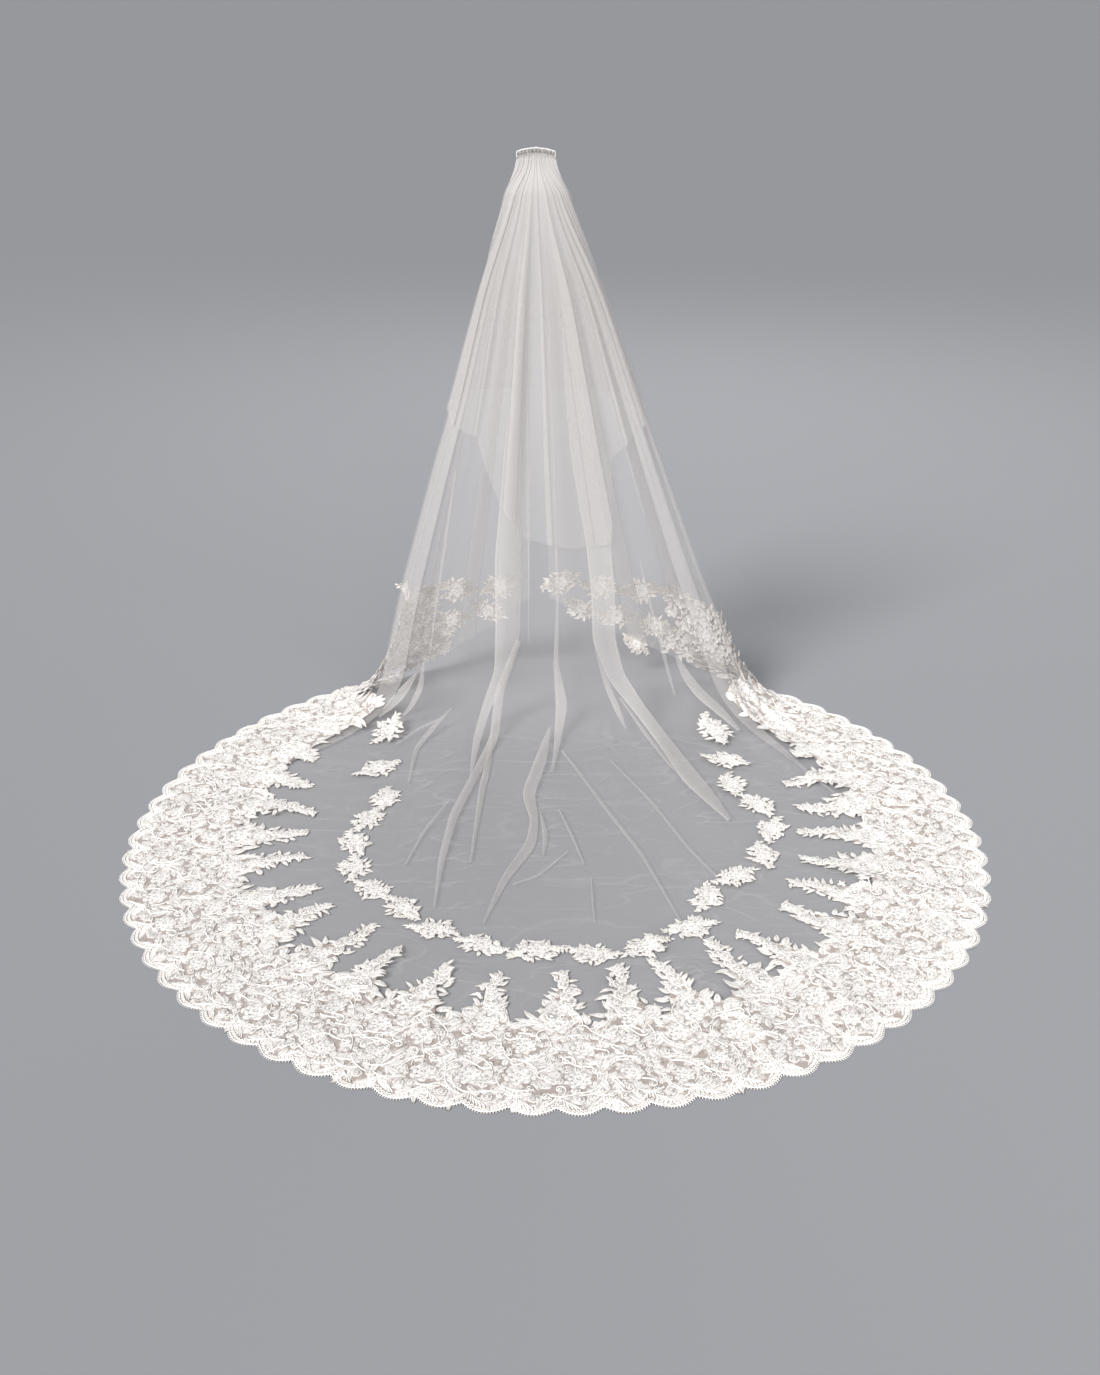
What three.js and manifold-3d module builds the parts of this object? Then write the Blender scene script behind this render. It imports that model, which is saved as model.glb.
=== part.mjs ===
// Cathedral bridal veil on a hair comb, in millimetres, +Z up.
// The origin is the middle of the comb's bar. The long layer falls from the comb in a cone
// that is open at the far side (+Y), and its train lies in a circle on the floor towards -Y.

import * as THREE from "three";
import { mergeVertices } from "three/addons/utils/BufferGeometryUtils.js";
import Module from "manifold-3d";

// Heights and thicknesses
const floorZ = -1680;
const tulleThickness = 1.2;
const laceThickness = 1.5;
const pieceGap = 0.3;

// Train on the floor: a circle about trainCentre
const trainCentre = { x: 51, y: -760 };
const trainRadius = 1140;
const tulleHemRadius = 1122;
const laceOverhang = 25;
const bendHeight = 150;
const sideBendHeight = 300;
const sideBend = { from: 82, to: 108 };
const bendReach = 260;
const bendShare = 0.45; // most of the way to the hem that the bend may take

// Hem at the far side: an arch between the two points where the cone's base leaves the circle
const archStart = 128;
const archEnd = 142;
const farEdgeTurn = 179.3;
const hemTurnRatio = 1.124;
const farKnee = 0.86; // shares of the drop where the far side's rows stand in for the bend's ends
const farFoot = 0.94;
const archHem = [
  { turn: 130, up: 0 },
  { turn: 137, up: 22 },
  { turn: 146, up: 58 },
  { turn: 153, up: 84 },
  { turn: 165, up: 134 },
  { turn: 171, up: 172 },
  { turn: 176, up: 216 },
  { turn: 180, up: 276 },
];

// Drops over which the cloth changes: the heading opens into a ring, the free edges turn round,
// the gathers grow and fade, and the main folds grow
const opening = { from: 30, to: 120 };
const turningRound = { from: 0, to: 420 };
const gathers = { small: 0.4, large: 1.6, from: 60, full: 200, gone: 1000 };
const foldGrowth = { from: 60, to: 900 };
const nearPower = 0.9; // 1 is an ellipse, less is nearer to a box
const farPower = 0.625;

// Comb and its binding
const combWidth = 94;
const combThickness = 2.4;
const barHeight = 5;
const barArch = 9;
const toothCount = 22;
const toothLength = 32;
const toothRoot = 2.4;
const toothTip = 1.2;
const bindingThickness = 1.2;
const headingWidth = 98;
const trainHeadingY = -3.2;
const blusherHeadingY = -5.7;
const headingTop = 2.2;
const bindingLegLow = -7;
const bindingOverhang = 3;
const bindingEase = 0.4;

// Lace border
const scallopPitch = 5.0;
const scallopDepth = 14;
const borderTurn = 142;
const fingerPitch = 11;
const denseRadius = 850;
const fingerTipRadius = 655;
const sideNarrowing = 200;
const narrowFrom = 95; // turns between which the band narrows beside the cone
const narrowTo = 138;
const eyeletTurn = 100; // eyes are cut between the fingers up to this turn
const eyeletInset = 34;
const eyeletHalf = { turn: 1.1, radius: 15 };
const prismDepth = 5; // the cutting prisms start below the floor
const borderPrismHeight = 40;
const sprayPrismHeight = 60;
const farPrism = { near: 110, far: 420 };

// Cone: plan of the cloth at each drop below the comb, measured out from the comb's line
const wallSections = [
  { drop: 0, left: 50, right: 50, near: 6, far: 6 },
  { drop: 133, left: 77, right: 82, near: 20, far: 26 },
  { drop: 458, left: 164, right: 207, near: 36, far: 86 },
  { drop: 698, left: 228, right: 297, near: 48, far: 130 },
  { drop: 867, left: 281, right: 358, near: 57, far: 158 },
  { drop: 1274, left: 400, right: 510, near: 78, far: 225 },
  { drop: 1486, left: 450, right: 600, near: 88, far: 262 },
  { drop: 1680, left: 495, right: 672, near: 96, far: 292 },
];

// Main folds: turn round the cone in degrees from the near middle, half width in degrees,
// how far each stands out of the wall, how high its ridge is on the floor, where the ridge ends
// and how many degrees it drifts at the foot of the cone
const mainFolds = [
  { name: "left edge", turn: -87, wide: 11, rise: 16, ridge: 8, reach: 0.5, drift: 0 },
  { name: "left", turn: -47, wide: 9, rise: 9, ridge: 5, reach: 0.4, drift: 0 },
  { name: "left of centre", turn: -13, wide: 10, rise: 20, ridge: 14, reach: 0.7, drift: -8 },
  { name: "centre", turn: 7, wide: 8, rise: 12, ridge: 9, reach: 0.65, drift: -6 },
  { name: "right of centre", turn: 27, wide: 10, rise: 20, ridge: 14, reach: 0.7, drift: 6 },
  { name: "right", turn: 47, wide: 10, rise: 10, ridge: 10, reach: 0.6, drift: 0 },
  { name: "right edge", turn: 67, wide: 13, rise: 12, ridge: 12, reach: 0.6, drift: 0 },
  { name: "right side", turn: 100, wide: 10, rise: 12, ridge: 8, reach: 0.4, drift: 0 },
  { name: "left side", turn: -113, wide: 10, rise: 12, ridge: 8, reach: 0.4, drift: 0 },
  { name: "far right", turn: 140, wide: 12, rise: 14, ridge: 0, reach: 1, drift: 0 },
  { name: "far left", turn: -140, wide: 12, rise: 14, ridge: 0, reach: 1, drift: 0 },
  { name: "right free edge", turn: 167, wide: 9, rise: 10, ridge: 0, reach: 1, drift: 0 },
  { name: "left free edge", turn: -167, wide: 9, rise: 10, ridge: 0, reach: 1, drift: 0 },
];

// Short layer: length of the hem below the comb by turn
const blusherHem = [
  { turn: -180, drop: 690 },
  { turn: -90, drop: 692 },
  { turn: -74, drop: 752 },
  { turn: -38, drop: 785 },
  { turn: -20, drop: 950 },
  { turn: -4, drop: 1090 },
  { turn: 12, drop: 1118 },
  { turn: 26, drop: 1100 },
  { turn: 34, drop: 850 },
  { turn: 52, drop: 785 },
  { turn: 88, drop: 712 },
  { turn: 180, drop: 690 },
];
const blusherStandOff = 12;

// Sprays on the far wall: middle of each, in X and in height above the floor
const farSprays = [
  { x: -385, up: 312, size: 62, lean: 0.1 },
  { x: -262, up: 318, size: 62, lean: -0.2 },
  { x: -125, up: 324, size: 62, lean: 0.3 },
  { x: 72, up: 338, size: 60, lean: 0.4 },
  { x: 200, up: 318, size: 62, lean: -0.1 },
  { x: 330, up: 312, size: 62, lean: 0.2 },
  { x: 446, up: 300, size: 58, lean: -0.3 },
  { x: -388, up: 190, size: 56, lean: 0.5 },
  { x: -286, up: 205, size: 58, lean: 0.2 },
  { x: -165, up: 230, size: 55, lean: -0.4 },
  { x: 138, up: 240, size: 52, lean: -0.5 },
  { x: 258, up: 208, size: 60, lean: 0.1 },
  { x: 385, up: 182, size: 58, lean: -0.3 },
  { x: -345, up: 110, size: 44, lean: 0.6 },
  { x: 322, up: 112, size: 44, lean: -0.5 },
];

// Ring of sprays inside the border, about the train's centre
const trailSprays = [
  { turn: -138.5, radius: 768, size: 66, lean: 0.5 },
  { turn: -124, radius: 622, size: 66, lean: -0.4 },
  { turn: -110, radius: 506, size: 60, lean: 0.3 },
  { turn: -96, radius: 516, size: 60, lean: -0.3 },
  { turn: -82.5, radius: 540, size: 61, lean: 0.4 },
  { turn: -69.5, radius: 556, size: 60, lean: -0.3 },
  { turn: -57, radius: 552, size: 59, lean: 0.3 },
  { turn: -44.5, radius: 540, size: 59, lean: -0.35 },
  { turn: -31.5, radius: 562, size: 61, lean: 0.3 },
  { turn: -18, radius: 572, size: 62, lean: -0.2 },
  { turn: -4.5, radius: 570, size: 64, lean: 0.2 },
  { turn: 8.5, radius: 588, size: 60, lean: -0.35 },
  { turn: 21.5, radius: 592, size: 62, lean: 0.3 },
  { turn: 35, radius: 574, size: 62, lean: -0.2 },
  { turn: 48.5, radius: 510, size: 60, lean: 0.5 },
  { turn: 62.5, radius: 524, size: 60, lean: -0.4 },
  { turn: 76, radius: 564, size: 60, lean: 0.3 },
  { turn: 89.5, radius: 588, size: 63, lean: -0.3 },
  { turn: 103, radius: 580, size: 62, lean: 0.35 },
  { turn: 116, radius: 562, size: 60, lean: -0.3 },
  { turn: 128, radius: 640, size: 64, lean: 0.4 },
  { turn: 139, radius: 745, size: 66, lean: -0.4 },
];

// Outline of a spray: corners, and its narrowest reach and its notches as shares of its size
const sprayPoints = 12;
const sprayWaist = 0.72;
const sprayNotch = 0.8;

const columnCount = 50;
const topDrops = [0, 30, 90, 180, 300, 460, 680];

const wasm = await Module();
wasm.setup();

const mix = THREE.MathUtils.lerp;
const smooth = THREE.MathUtils.smoothstep;
const toRadians = THREE.MathUtils.degToRad;

function tableValue(table, key, at, column) {
  const last = table.length - 1;
  if (at <= table[0][key]) return table[0][column];
  if (at >= table[last][key]) return table[last][column];
  const next = table.findIndex((row) => row[key] > at);
  const low = table[next - 1];
  const high = table[next];
  return mix(low[column], high[column], (at - low[key]) / (high[key] - low[key]));
}

// Power of a sine or cosine that keeps its sign, for sections between an ellipse and a box
function signedPower(value, power) {
  return Math.sign(value) * Math.abs(value) ** power;
}

// Point of the hanging cloth without its folds. It starts in a straight line at the comb,
// and its free edges then turn round to the far middle.
function plainWall(turn, drop, layer) {
  const wrap = mix(90, farEdgeTurn, smooth(drop, turningRound.from, turningRound.to)) / 180;
  const angle = toRadians(turn * wrap);
  const power = Math.cos(angle) > 0 ? nearPower : farPower;
  const side = turn < 0 ? "left" : "right";
  const depth = Math.cos(angle) > 0 ? "near" : "far";
  const halfWidth = tableValue(wallSections, "drop", drop, side) + layer.standOff;
  const halfDepth = tableValue(wallSections, "drop", drop, depth) + layer.standOff;
  const x = halfWidth * signedPower(Math.sin(angle), power);
  const y = -halfDepth * signedPower(Math.cos(angle), power);
  const open = smooth(drop, opening.from, opening.to);
  const spread = (halfWidth - layer.standOff) / wallSections[0][side];
  const headingX = (turn / 180) * (headingWidth / 2) * spread;
  const arch = -barArch * (turn / 180) ** 2 * (1 - smooth(drop, 0, 200));
  const z = headingTop + arch - drop * (1 + headingTop / floorZ);
  return new THREE.Vector3(mix(headingX, x, open), mix(layer.headingY, y, open), z);
}

function outwardAt(turn, drop, layer) {
  const after = plainWall(turn + 1, drop, layer);
  const along = after.sub(plainWall(turn - 1, drop, layer));
  return new THREE.Vector3(along.y, -along.x, 0).normalize();
}

// Small gathers at the heading: every second column stands out, every other one in
function gatherAt(turn, drop) {
  const width = 360 / columnCount;
  const grown = mix(gathers.small, gathers.large, smooth(drop, gathers.from, gathers.full));
  const size = grown * (1 - smooth(drop, gathers.full, gathers.gone));
  return size * Math.cos((Math.PI * turn) / width);
}

function foldSum(turn, column, envelope, drifted = 0) {
  let total = 0;
  for (const fold of mainFolds) {
    const away = Math.abs(turn - fold.turn - drifted * fold.drift) / fold.wide;
    if (away < 1) total += fold[column] * Math.cos((away * Math.PI) / 2) ** 2 * envelope(fold);
  }
  return total;
}

function wall(turn, drop, layer) {
  const grown = smooth(drop, foldGrowth.from, foldGrowth.to);
  const out = gatherAt(turn, drop) + foldSum(turn, "rise", () => grown);
  return plainWall(turn, drop, layer).addScaledVector(outwardAt(turn, drop, layer), out);
}

const trainLayer = { standOff: 0, headingY: trainHeadingY };
const blusherLayer = { standOff: blusherStandOff, headingY: blusherHeadingY };
const floorMiddle = floorZ + tulleThickness / 2;

// Drop of the arched hem at the far side
function archDrop(turn) {
  return -floorMiddle - tableValue(archHem, "turn", Math.abs(turn), "up");
}

function circlePoint(turn, radius) {
  const angle = toRadians(turn * hemTurnRatio);
  const x = trainCentre.x + radius * Math.sin(angle);
  const y = trainCentre.y - radius * Math.cos(angle);
  return new THREE.Vector3(x, y, floorMiddle);
}

// Rows of the train from the comb to the hem: the hanging part, the bend and the floor
const trainRows = [
  ...topDrops.map((drop) => ({ zone: "top", at: drop })),
  ...[0.34, 0.68, 1].map((at) => ({ zone: "lower", at })),
  ...[0.33, 0.66, 1].map((at) => ({ zone: "bend", at })),
  ...[0.25, 0.6, 1].map((at) => ({ zone: "floor", at })),
];
const overhangRow = { zone: "overhang", at: 1 };

function trainPoint(turn, row) {
  const far = smooth(Math.abs(turn), archStart, archEnd);
  const hemDrop = archDrop(turn);
  const lastTop = topDrops[topDrops.length - 1];
  const beside = smooth(Math.abs(turn), sideBend.from, sideBend.to);
  const bendTopDrop = -floorZ - mix(bendHeight, sideBendHeight, beside);
  const bendDrop = mix(bendTopDrop, farKnee * hemDrop, far);
  if (row.zone === "top") return wall(turn, row.at, trainLayer);
  if (row.zone === "lower") return wall(turn, mix(lastTop, bendDrop, row.at), trainLayer);

  const bendTop = wall(turn, bendTopDrop, trainLayer);
  const base = wall(turn, -floorZ, trainLayer).setZ(floorMiddle);
  const hem = circlePoint(turn, tulleHemRadius);
  const way = hem.clone().sub(base);
  const reach = Math.min(bendReach, bendShare * way.length());
  const bendFoot = base.clone().addScaledVector(way.clone().normalize(), reach);
  const near = new THREE.Vector3();
  let farDrop = hemDrop;
  if (row.zone === "bend") {
    const left = 1 - row.at;
    near.addScaledVector(bendTop, left * left).addScaledVector(base, 2 * left * row.at);
    near.addScaledVector(bendFoot, row.at * row.at);
    near.z += foldSum(turn, "ridge", () => row.at, row.at);
    farDrop = hemDrop * mix(farKnee, farFoot, row.at);
  } else if (row.zone === "floor") {
    near.lerpVectors(bendFoot, hem, row.at);
    const drifted = mix(1, 0.3, smooth(row.at, 0.15, 0.6));
    near.z += foldSum(turn, "ridge", (fold) => 1 - smooth(row.at, 0, fold.reach), drifted);
    farDrop = hemDrop * mix(farFoot, 1, row.at);
  } else {
    near.copy(circlePoint(turn, tulleHemRadius + laceOverhang));
    farDrop = hemDrop + laceOverhang;
  }
  return near.lerp(wall(turn, farDrop, trainLayer), far);
}

const blusherRows = [
  ...topDrops.map((drop) => ({ zone: "top", at: drop })),
  ...[0.5, 1].map((at) => ({ zone: "lower", at })),
];

function blusherPoint(turn, row) {
  const lastTop = topDrops[topDrops.length - 1];
  const hemDrop = tableValue(blusherHem, "turn", turn, "drop");
  const drop = row.zone === "top" ? row.at : mix(lastTop, hemDrop, row.at);
  return wall(turn, drop, blusherLayer);
}

function pointGrid(rows, pointAt) {
  const grid = [];
  for (let column = 0; column <= columnCount; column += 1) {
    const turn = mix(-180, 180, column / columnCount);
    grid.push(rows.map((row) => pointAt(turn, row)));
  }
  return grid;
}

function gridNormal(grid, column, row) {
  const lastColumn = grid.length - 1;
  const lastRow = grid[0].length - 1;
  const across = grid[Math.min(column + 1, lastColumn)][row].clone();
  across.sub(grid[Math.max(column - 1, 0)][row]);
  const down = grid[column][Math.min(row + 1, lastRow)].clone();
  down.sub(grid[column][Math.max(row - 1, 0)]);
  return down.cross(across).normalize();
}

// Closed shell between two offsets of a grid, the higher offset on the outer side
function shell(grid, low, high) {
  const columns = grid.length;
  const rows = grid[0].length;
  const places = [];
  for (const offset of [high, low]) {
    for (let column = 0; column < columns; column += 1) {
      for (let row = 0; row < rows; row += 1) {
        const point = grid[column][row].clone();
        point.addScaledVector(gridNormal(grid, column, row), offset);
        places.push(point.x, point.y, point.z);
      }
    }
  }
  const outer = (column, row) => column * rows + row;
  const inner = (column, row) => columns * rows + column * rows + row;
  const faces = [];
  for (let column = 0; column < columns - 1; column += 1) {
    for (let row = 0; row < rows - 1; row += 1) {
      const next = column + 1;
      const below = row + 1;
      faces.push(outer(column, row), outer(column, below), outer(next, below));
      faces.push(outer(column, row), outer(next, below), outer(next, row));
      faces.push(inner(column, row), inner(next, below), inner(column, below));
      faces.push(inner(column, row), inner(next, row), inner(next, below));
    }
  }
  const edge = (a, b, c, d) => faces.push(a, b, c, c, b, d);
  for (let row = 0; row < rows - 1; row += 1) {
    const end = columns - 1;
    edge(outer(0, row), inner(0, row), outer(0, row + 1), inner(0, row + 1));
    edge(outer(end, row + 1), inner(end, row + 1), outer(end, row), inner(end, row));
  }
  for (let column = 0; column < columns - 1; column += 1) {
    const end = rows - 1;
    edge(outer(column + 1, 0), inner(column + 1, 0), outer(column, 0), inner(column, 0));
    edge(outer(column, end), inner(column, end), outer(column + 1, end), inner(column + 1, end));
  }
  const geometry = new THREE.BufferGeometry();
  geometry.setAttribute("position", new THREE.Float32BufferAttribute(places, 3));
  geometry.setIndex(faces);
  return geometry;
}

function toSolid(geometry) {
  const plain = geometry.clone();
  plain.deleteAttribute("normal");
  plain.deleteAttribute("uv");
  const merged = mergeVertices(plain, 1e-4);
  const vertProperties = new Float32Array(merged.getAttribute("position").array);
  const triVerts = new Uint32Array(merged.getIndex().array);
  return new wasm.Manifold(new wasm.Mesh({ numProp: 3, vertProperties, triVerts }));
}

function fromSolid(solid) {
  const mesh = solid.getMesh();
  const geometry = new THREE.BufferGeometry();
  geometry.setAttribute("position", new THREE.BufferAttribute(mesh.vertProperties, 3));
  geometry.setIndex(new THREE.BufferAttribute(mesh.triVerts, 1));
  return geometry;
}

function largestPart(solid) {
  const parts = solid.decompose();
  return parts.reduce((best, part) => (part.volume() > best.volume() ? part : best));
}

function outline(points) {
  return new THREE.Shape(points.map(([x, y]) => new THREE.Vector2(x, y)));
}

// Prism of a plan outline between two heights
function uprightPrism(shape, low, high) {
  const prism = new THREE.ExtrudeGeometry(shape, { depth: high - low, bevelEnabled: false });
  return toSolid(prism.translate(0, 0, low));
}

// Prism of a front outline between two depths
function frontPrism(shape, low, high) {
  const prism = new THREE.ExtrudeGeometry(shape, { depth: high - low, bevelEnabled: false });
  return toSolid(prism.rotateX(Math.PI / 2).translate(0, high, 0));
}

// Lace lies on the outer face of the train, so every lace piece is cut from one skin over it
const trainGrid = pointGrid(trainRows, trainPoint);
const laceGrid = pointGrid([...trainRows.slice(6), overhangRow], trainPoint);
const laceLow = tulleThickness / 2 + pieceGap;
const laceSkin = toSolid(shell(laceGrid, laceLow, laceLow + laceThickness));

// How far a turn of the train lies beside the cone's base, from 0 to 1
function besideCone(turn) {
  return smooth(Math.abs(turn), narrowFrom, narrowTo);
}

function planPoint(turn, radius) {
  const angle = toRadians(turn);
  return [trainCentre.x + radius * Math.sin(angle), trainCentre.y - radius * Math.cos(angle)];
}

// One inward finger as steps of its pitch and its length, from root to tip and back
const fingerSteps = [
  { across: 0.5, along: 0 },
  { across: 0.38, along: 0.08 },
  { across: 0.26, along: 0.34 },
  { across: 0.16, along: 0.66 },
  { across: 0.05, along: 1 },
  { across: -0.04, along: 0.97 },
  { across: -0.14, along: 0.7 },
  { across: -0.24, along: 0.44 },
  { across: -0.38, along: 0.1 },
];

function borderShape() {
  const points = [];
  for (let turn = -borderTurn; turn < borderTurn - 0.01; turn += scallopPitch / 3) {
    const lobe = Math.abs(Math.sin((Math.PI * turn) / scallopPitch));
    points.push(planPoint(turn, trainRadius - scallopDepth * (1 - lobe)));
  }
  points.push(planPoint(borderTurn, trainRadius - scallopDepth));
  const fingerCount = Math.round((2 * (borderTurn - fingerPitch / 2)) / fingerPitch);
  const shape = outline(points);
  for (let finger = 0; finger < fingerCount; finger += 1) {
    const middle = (fingerCount / 2 - finger - 0.5) * fingerPitch;
    const root = denseRadius + 0.5 * sideNarrowing * besideCone(middle);
    const tip = fingerTipRadius + 1.25 * sideNarrowing * besideCone(middle);
    for (const step of fingerSteps) {
      const turn = middle + step.across * fingerPitch;
      const [x, y] = planPoint(turn, mix(root, tip, step.along));
      shape.lineTo(x, y);
    }
    if (Math.abs(middle) < eyeletTurn) shape.holes.push(eyelet(middle + fingerPitch / 2, root + eyeletInset));
  }
  shape.closePath();
  return shape;
}

// Open eye between two finger roots
function eyelet(turn, radius) {
  const hole = new THREE.Path();
  const { turn: side, radius: out } = eyeletHalf;
  const corners = [[-side, 0], [0, out], [side, 0], [0, -out]];
  hole.setFromPoints(corners.map(([aside, away]) => {
    return new THREE.Vector2(...planPoint(turn + aside, radius + away));
  }));
  return hole;
}

function laceBorder() {
  const prism = uprightPrism(borderShape(), floorZ - prismDepth, floorZ + borderPrismHeight);
  return fromSolid(largestPart(laceSkin.intersect(prism)));
}

// Rose in the middle of two leafy arms, longer across than high
function sprayShape(x, y, size, lean) {
  const points = [];
  for (let i = 0; i < sprayPoints; i += 1) {
    const angle = (2 * Math.PI * i) / sprayPoints;
    const arm = mix(sprayWaist, 1, Math.abs(Math.cos(angle)) ** 1.5);
    const radius = size * arm * (i % 2 === 0 ? 1 : sprayNotch);
    points.push([x + radius * Math.cos(angle + lean), y + radius * Math.sin(angle + lean)]);
  }
  return outline(points);
}

function trailSpray(spray) {
  const [x, y] = planPoint(spray.turn, spray.radius);
  const shape = sprayShape(x, y, spray.size, toRadians(spray.turn) + spray.lean);
  const prism = uprightPrism(shape, floorZ - prismDepth, floorZ + sprayPrismHeight);
  return fromSolid(largestPart(laceSkin.intersect(prism)));
}

function farSpray(spray) {
  const shape = sprayShape(spray.x, floorZ + spray.up, spray.size, spray.lean);
  return fromSolid(largestPart(laceSkin.intersect(frontPrism(shape, farPrism.near, farPrism.far))));
}

function archAt(x) {
  return -barArch * (x / (headingWidth / 2)) ** 2;
}

// Band that follows the arch of the comb's bar, between two heights at its middle
function archedBand(width, low, high) {
  const steps = 10;
  const points = [];
  for (let i = 0; i <= steps; i += 1) {
    const x = mix(-width / 2, width / 2, i / steps);
    points.push([x, low + archAt(x)]);
  }
  for (let i = steps; i >= 0; i -= 1) {
    const x = mix(-width / 2, width / 2, i / steps);
    points.push([x, high + archAt(x)]);
  }
  return outline(points);
}

function combSolid() {
  const half = combThickness / 2;
  let comb = frontPrism(archedBand(combWidth, -barHeight / 2, barHeight / 2), -half, half);
  const pitch = (combWidth - toothRoot) / (toothCount - 1);
  for (let i = 0; i < toothCount; i += 1) {
    const x = -combWidth / 2 + toothRoot / 2 + i * pitch;
    const top = archAt(x);
    const bottom = archAt(x) - barHeight / 2 - toothLength;
    const tooth = outline([
      [x - toothRoot / 2, top],
      [x - toothTip / 2, bottom],
      [x + toothTip / 2, bottom],
      [x + toothRoot / 2, top],
    ]);
    comb = comb.add(frontPrism(tooth, -half, half));
  }
  return fromSolid(comb);
}

// Ribbon folded over the bar and the heading: a front leg, a back leg and the cap that joins them
function bindingSolid() {
  const backInner = combThickness / 2 + pieceGap;
  const frontInner = blusherHeadingY - tulleThickness / 2 - bindingEase - pieceGap;
  const capLow = barHeight / 2 + pieceGap;
  const capHigh = capLow + bindingThickness;
  const width = headingWidth + 2 * bindingOverhang;
  const leg = archedBand(width, bindingLegLow, capHigh);
  const front = frontPrism(leg, frontInner - bindingThickness, frontInner);
  const back = frontPrism(leg, backInner, backInner + bindingThickness);
  const cap = frontPrism(
    archedBand(width, capLow, capHigh),
    frontInner - bindingThickness,
    backInner + bindingThickness,
  );
  return fromSolid(front.add(back).add(cap));
}

const tulleFinish = { color: 0xf1eeea, roughness: 0.85, metalness: 0, side: THREE.DoubleSide };
const laceFinish = { color: 0xf6f2ec, roughness: 0.8, metalness: 0 };
const combFinish = { color: 0xe6dfd4, roughness: 0.4, metalness: 0 };
const ribbonFinish = { color: 0xefe9e0, roughness: 0.6, metalness: 0 };

const veil = new THREE.Group();

function addPiece(name, geometry, finish) {
  const piece = new THREE.Mesh(geometry, new THREE.MeshStandardMaterial(finish));
  piece.name = name;
  veil.add(piece);
}

const halfTulle = tulleThickness / 2;
addPiece("comb", combSolid(), combFinish);
addPiece("comb_binding", bindingSolid(), ribbonFinish);
addPiece("train_tulle", shell(trainGrid, -halfTulle, halfTulle), tulleFinish);
addPiece("blusher_tulle", shell(pointGrid(blusherRows, blusherPoint), -halfTulle, halfTulle), tulleFinish);
addPiece("lace_border", laceBorder(), laceFinish);
trailSprays.forEach((spray, i) => addPiece(`trail_spray_${i + 1}`, trailSpray(spray), laceFinish));
farSprays.forEach((spray, i) => addPiece(`far_spray_${i + 1}`, farSpray(spray), laceFinish));

export default veil;
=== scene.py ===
import math

import bpy
import numpy as np
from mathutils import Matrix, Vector
from mathutils.bvhtree import BVHTree


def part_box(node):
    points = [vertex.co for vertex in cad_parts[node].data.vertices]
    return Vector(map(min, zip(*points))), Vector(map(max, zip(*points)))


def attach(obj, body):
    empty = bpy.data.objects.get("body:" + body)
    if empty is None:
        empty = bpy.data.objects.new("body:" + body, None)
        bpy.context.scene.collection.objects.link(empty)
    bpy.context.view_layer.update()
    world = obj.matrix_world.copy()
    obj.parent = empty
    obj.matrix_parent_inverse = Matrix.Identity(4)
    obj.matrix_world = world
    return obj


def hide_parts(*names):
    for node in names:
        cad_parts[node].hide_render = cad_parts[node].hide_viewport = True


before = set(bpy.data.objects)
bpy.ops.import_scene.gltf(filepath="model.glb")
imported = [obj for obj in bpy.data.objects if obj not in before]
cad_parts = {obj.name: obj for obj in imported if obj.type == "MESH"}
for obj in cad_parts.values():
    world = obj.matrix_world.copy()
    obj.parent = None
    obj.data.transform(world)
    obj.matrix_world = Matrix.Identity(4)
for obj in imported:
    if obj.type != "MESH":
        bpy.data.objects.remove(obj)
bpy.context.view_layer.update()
scene = bpy.context.scene
mm = 0.001
print("frame loaded:", len(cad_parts), "solids")


def named(columns, rows):
    # a table: its column names once, then one tuple for each row
    return [dict(zip(columns.split(), row)) for row in rows]


cone = {
    "floorZ": -1680,
    "clothZ": -1679.4,  # middle of the tulle where it lies on the floor
    "kneeHeight": 150,
    "sideKneeHeight": 300,  # the cloth leaves the wall higher up beside the open side
    "kneeReach": 260,
    "freeEdge": 179.3,  # turn of the two free edges, in degrees
    "headingWidth": 98,
    "headingTop": 2.2,
    "barArch": 9,
    "gathers": 50,
}

# Plan of the cloth at each drop below the comb
coneSections = named("drop left right near far", [
    (0, 50, 50, 6, 6), (133, 77, 82, 20, 26), (458, 164, 207, 36, 86), (698, 228, 297, 48, 130),
    (867, 281, 358, 57, 158), (1274, 400, 510, 78, 225), (1486, 450, 600, 88, 262),
    (1680, 495, 672, 96, 292),
])

# Soft main folds: turn, half width in degrees, how far out, ridge on the floor, where it ends
# and how far it drifts at the foot of the cone
mainFolds = named("turn wide rise ridge reach drift", [
    (-87, 11, 16, 8, 0.5, 0), (-47, 9, 9, 5, 0.4, 0), (-13, 10, 20, 14, 0.7, -8),
    (7, 8, 12, 9, 0.65, -6), (27, 10, 20, 14, 0.7, 6), (47, 10, 10, 10, 0.6, 0),
    (67, 13, 12, 12, 0.6, 0), (100, 10, 12, 8, 0.4, 0), (-113, 10, 12, 8, 0.4, 0),
    (140, 12, 14, 0, 1, 0), (-140, 12, 14, 0, 1, 0), (167, 9, 10, 0, 1, 0), (-167, 9, 10, 0, 1, 0),
])


def smooth(value, low, high):
    at = np.clip((value - low) / (high - low), 0, 1)
    return at * at * (3 - 2 * at)


def mix(low, high, at):
    return low + (high - low) * at


def fromTable(table, key, column, at):
    return np.interp(at, [row[key] for row in table], [row[column] for row in table])


def coneValue(column, drop):
    # the table's corners are rounded over 60 mm, as cloth has no crease there
    around = [fromTable(coneSections, "drop", column, drop + step) for step in (-60, -20, 20, 60)]
    return mix(fromTable(coneSections, "drop", column, drop), sum(around) / 4, smooth(drop, 60, 140))


def keptSign(value, power):
    return np.sign(value) * np.abs(value) ** power


def lengthOf(vectors):
    return np.linalg.norm(vectors, axis=-1, keepdims=True)


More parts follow.
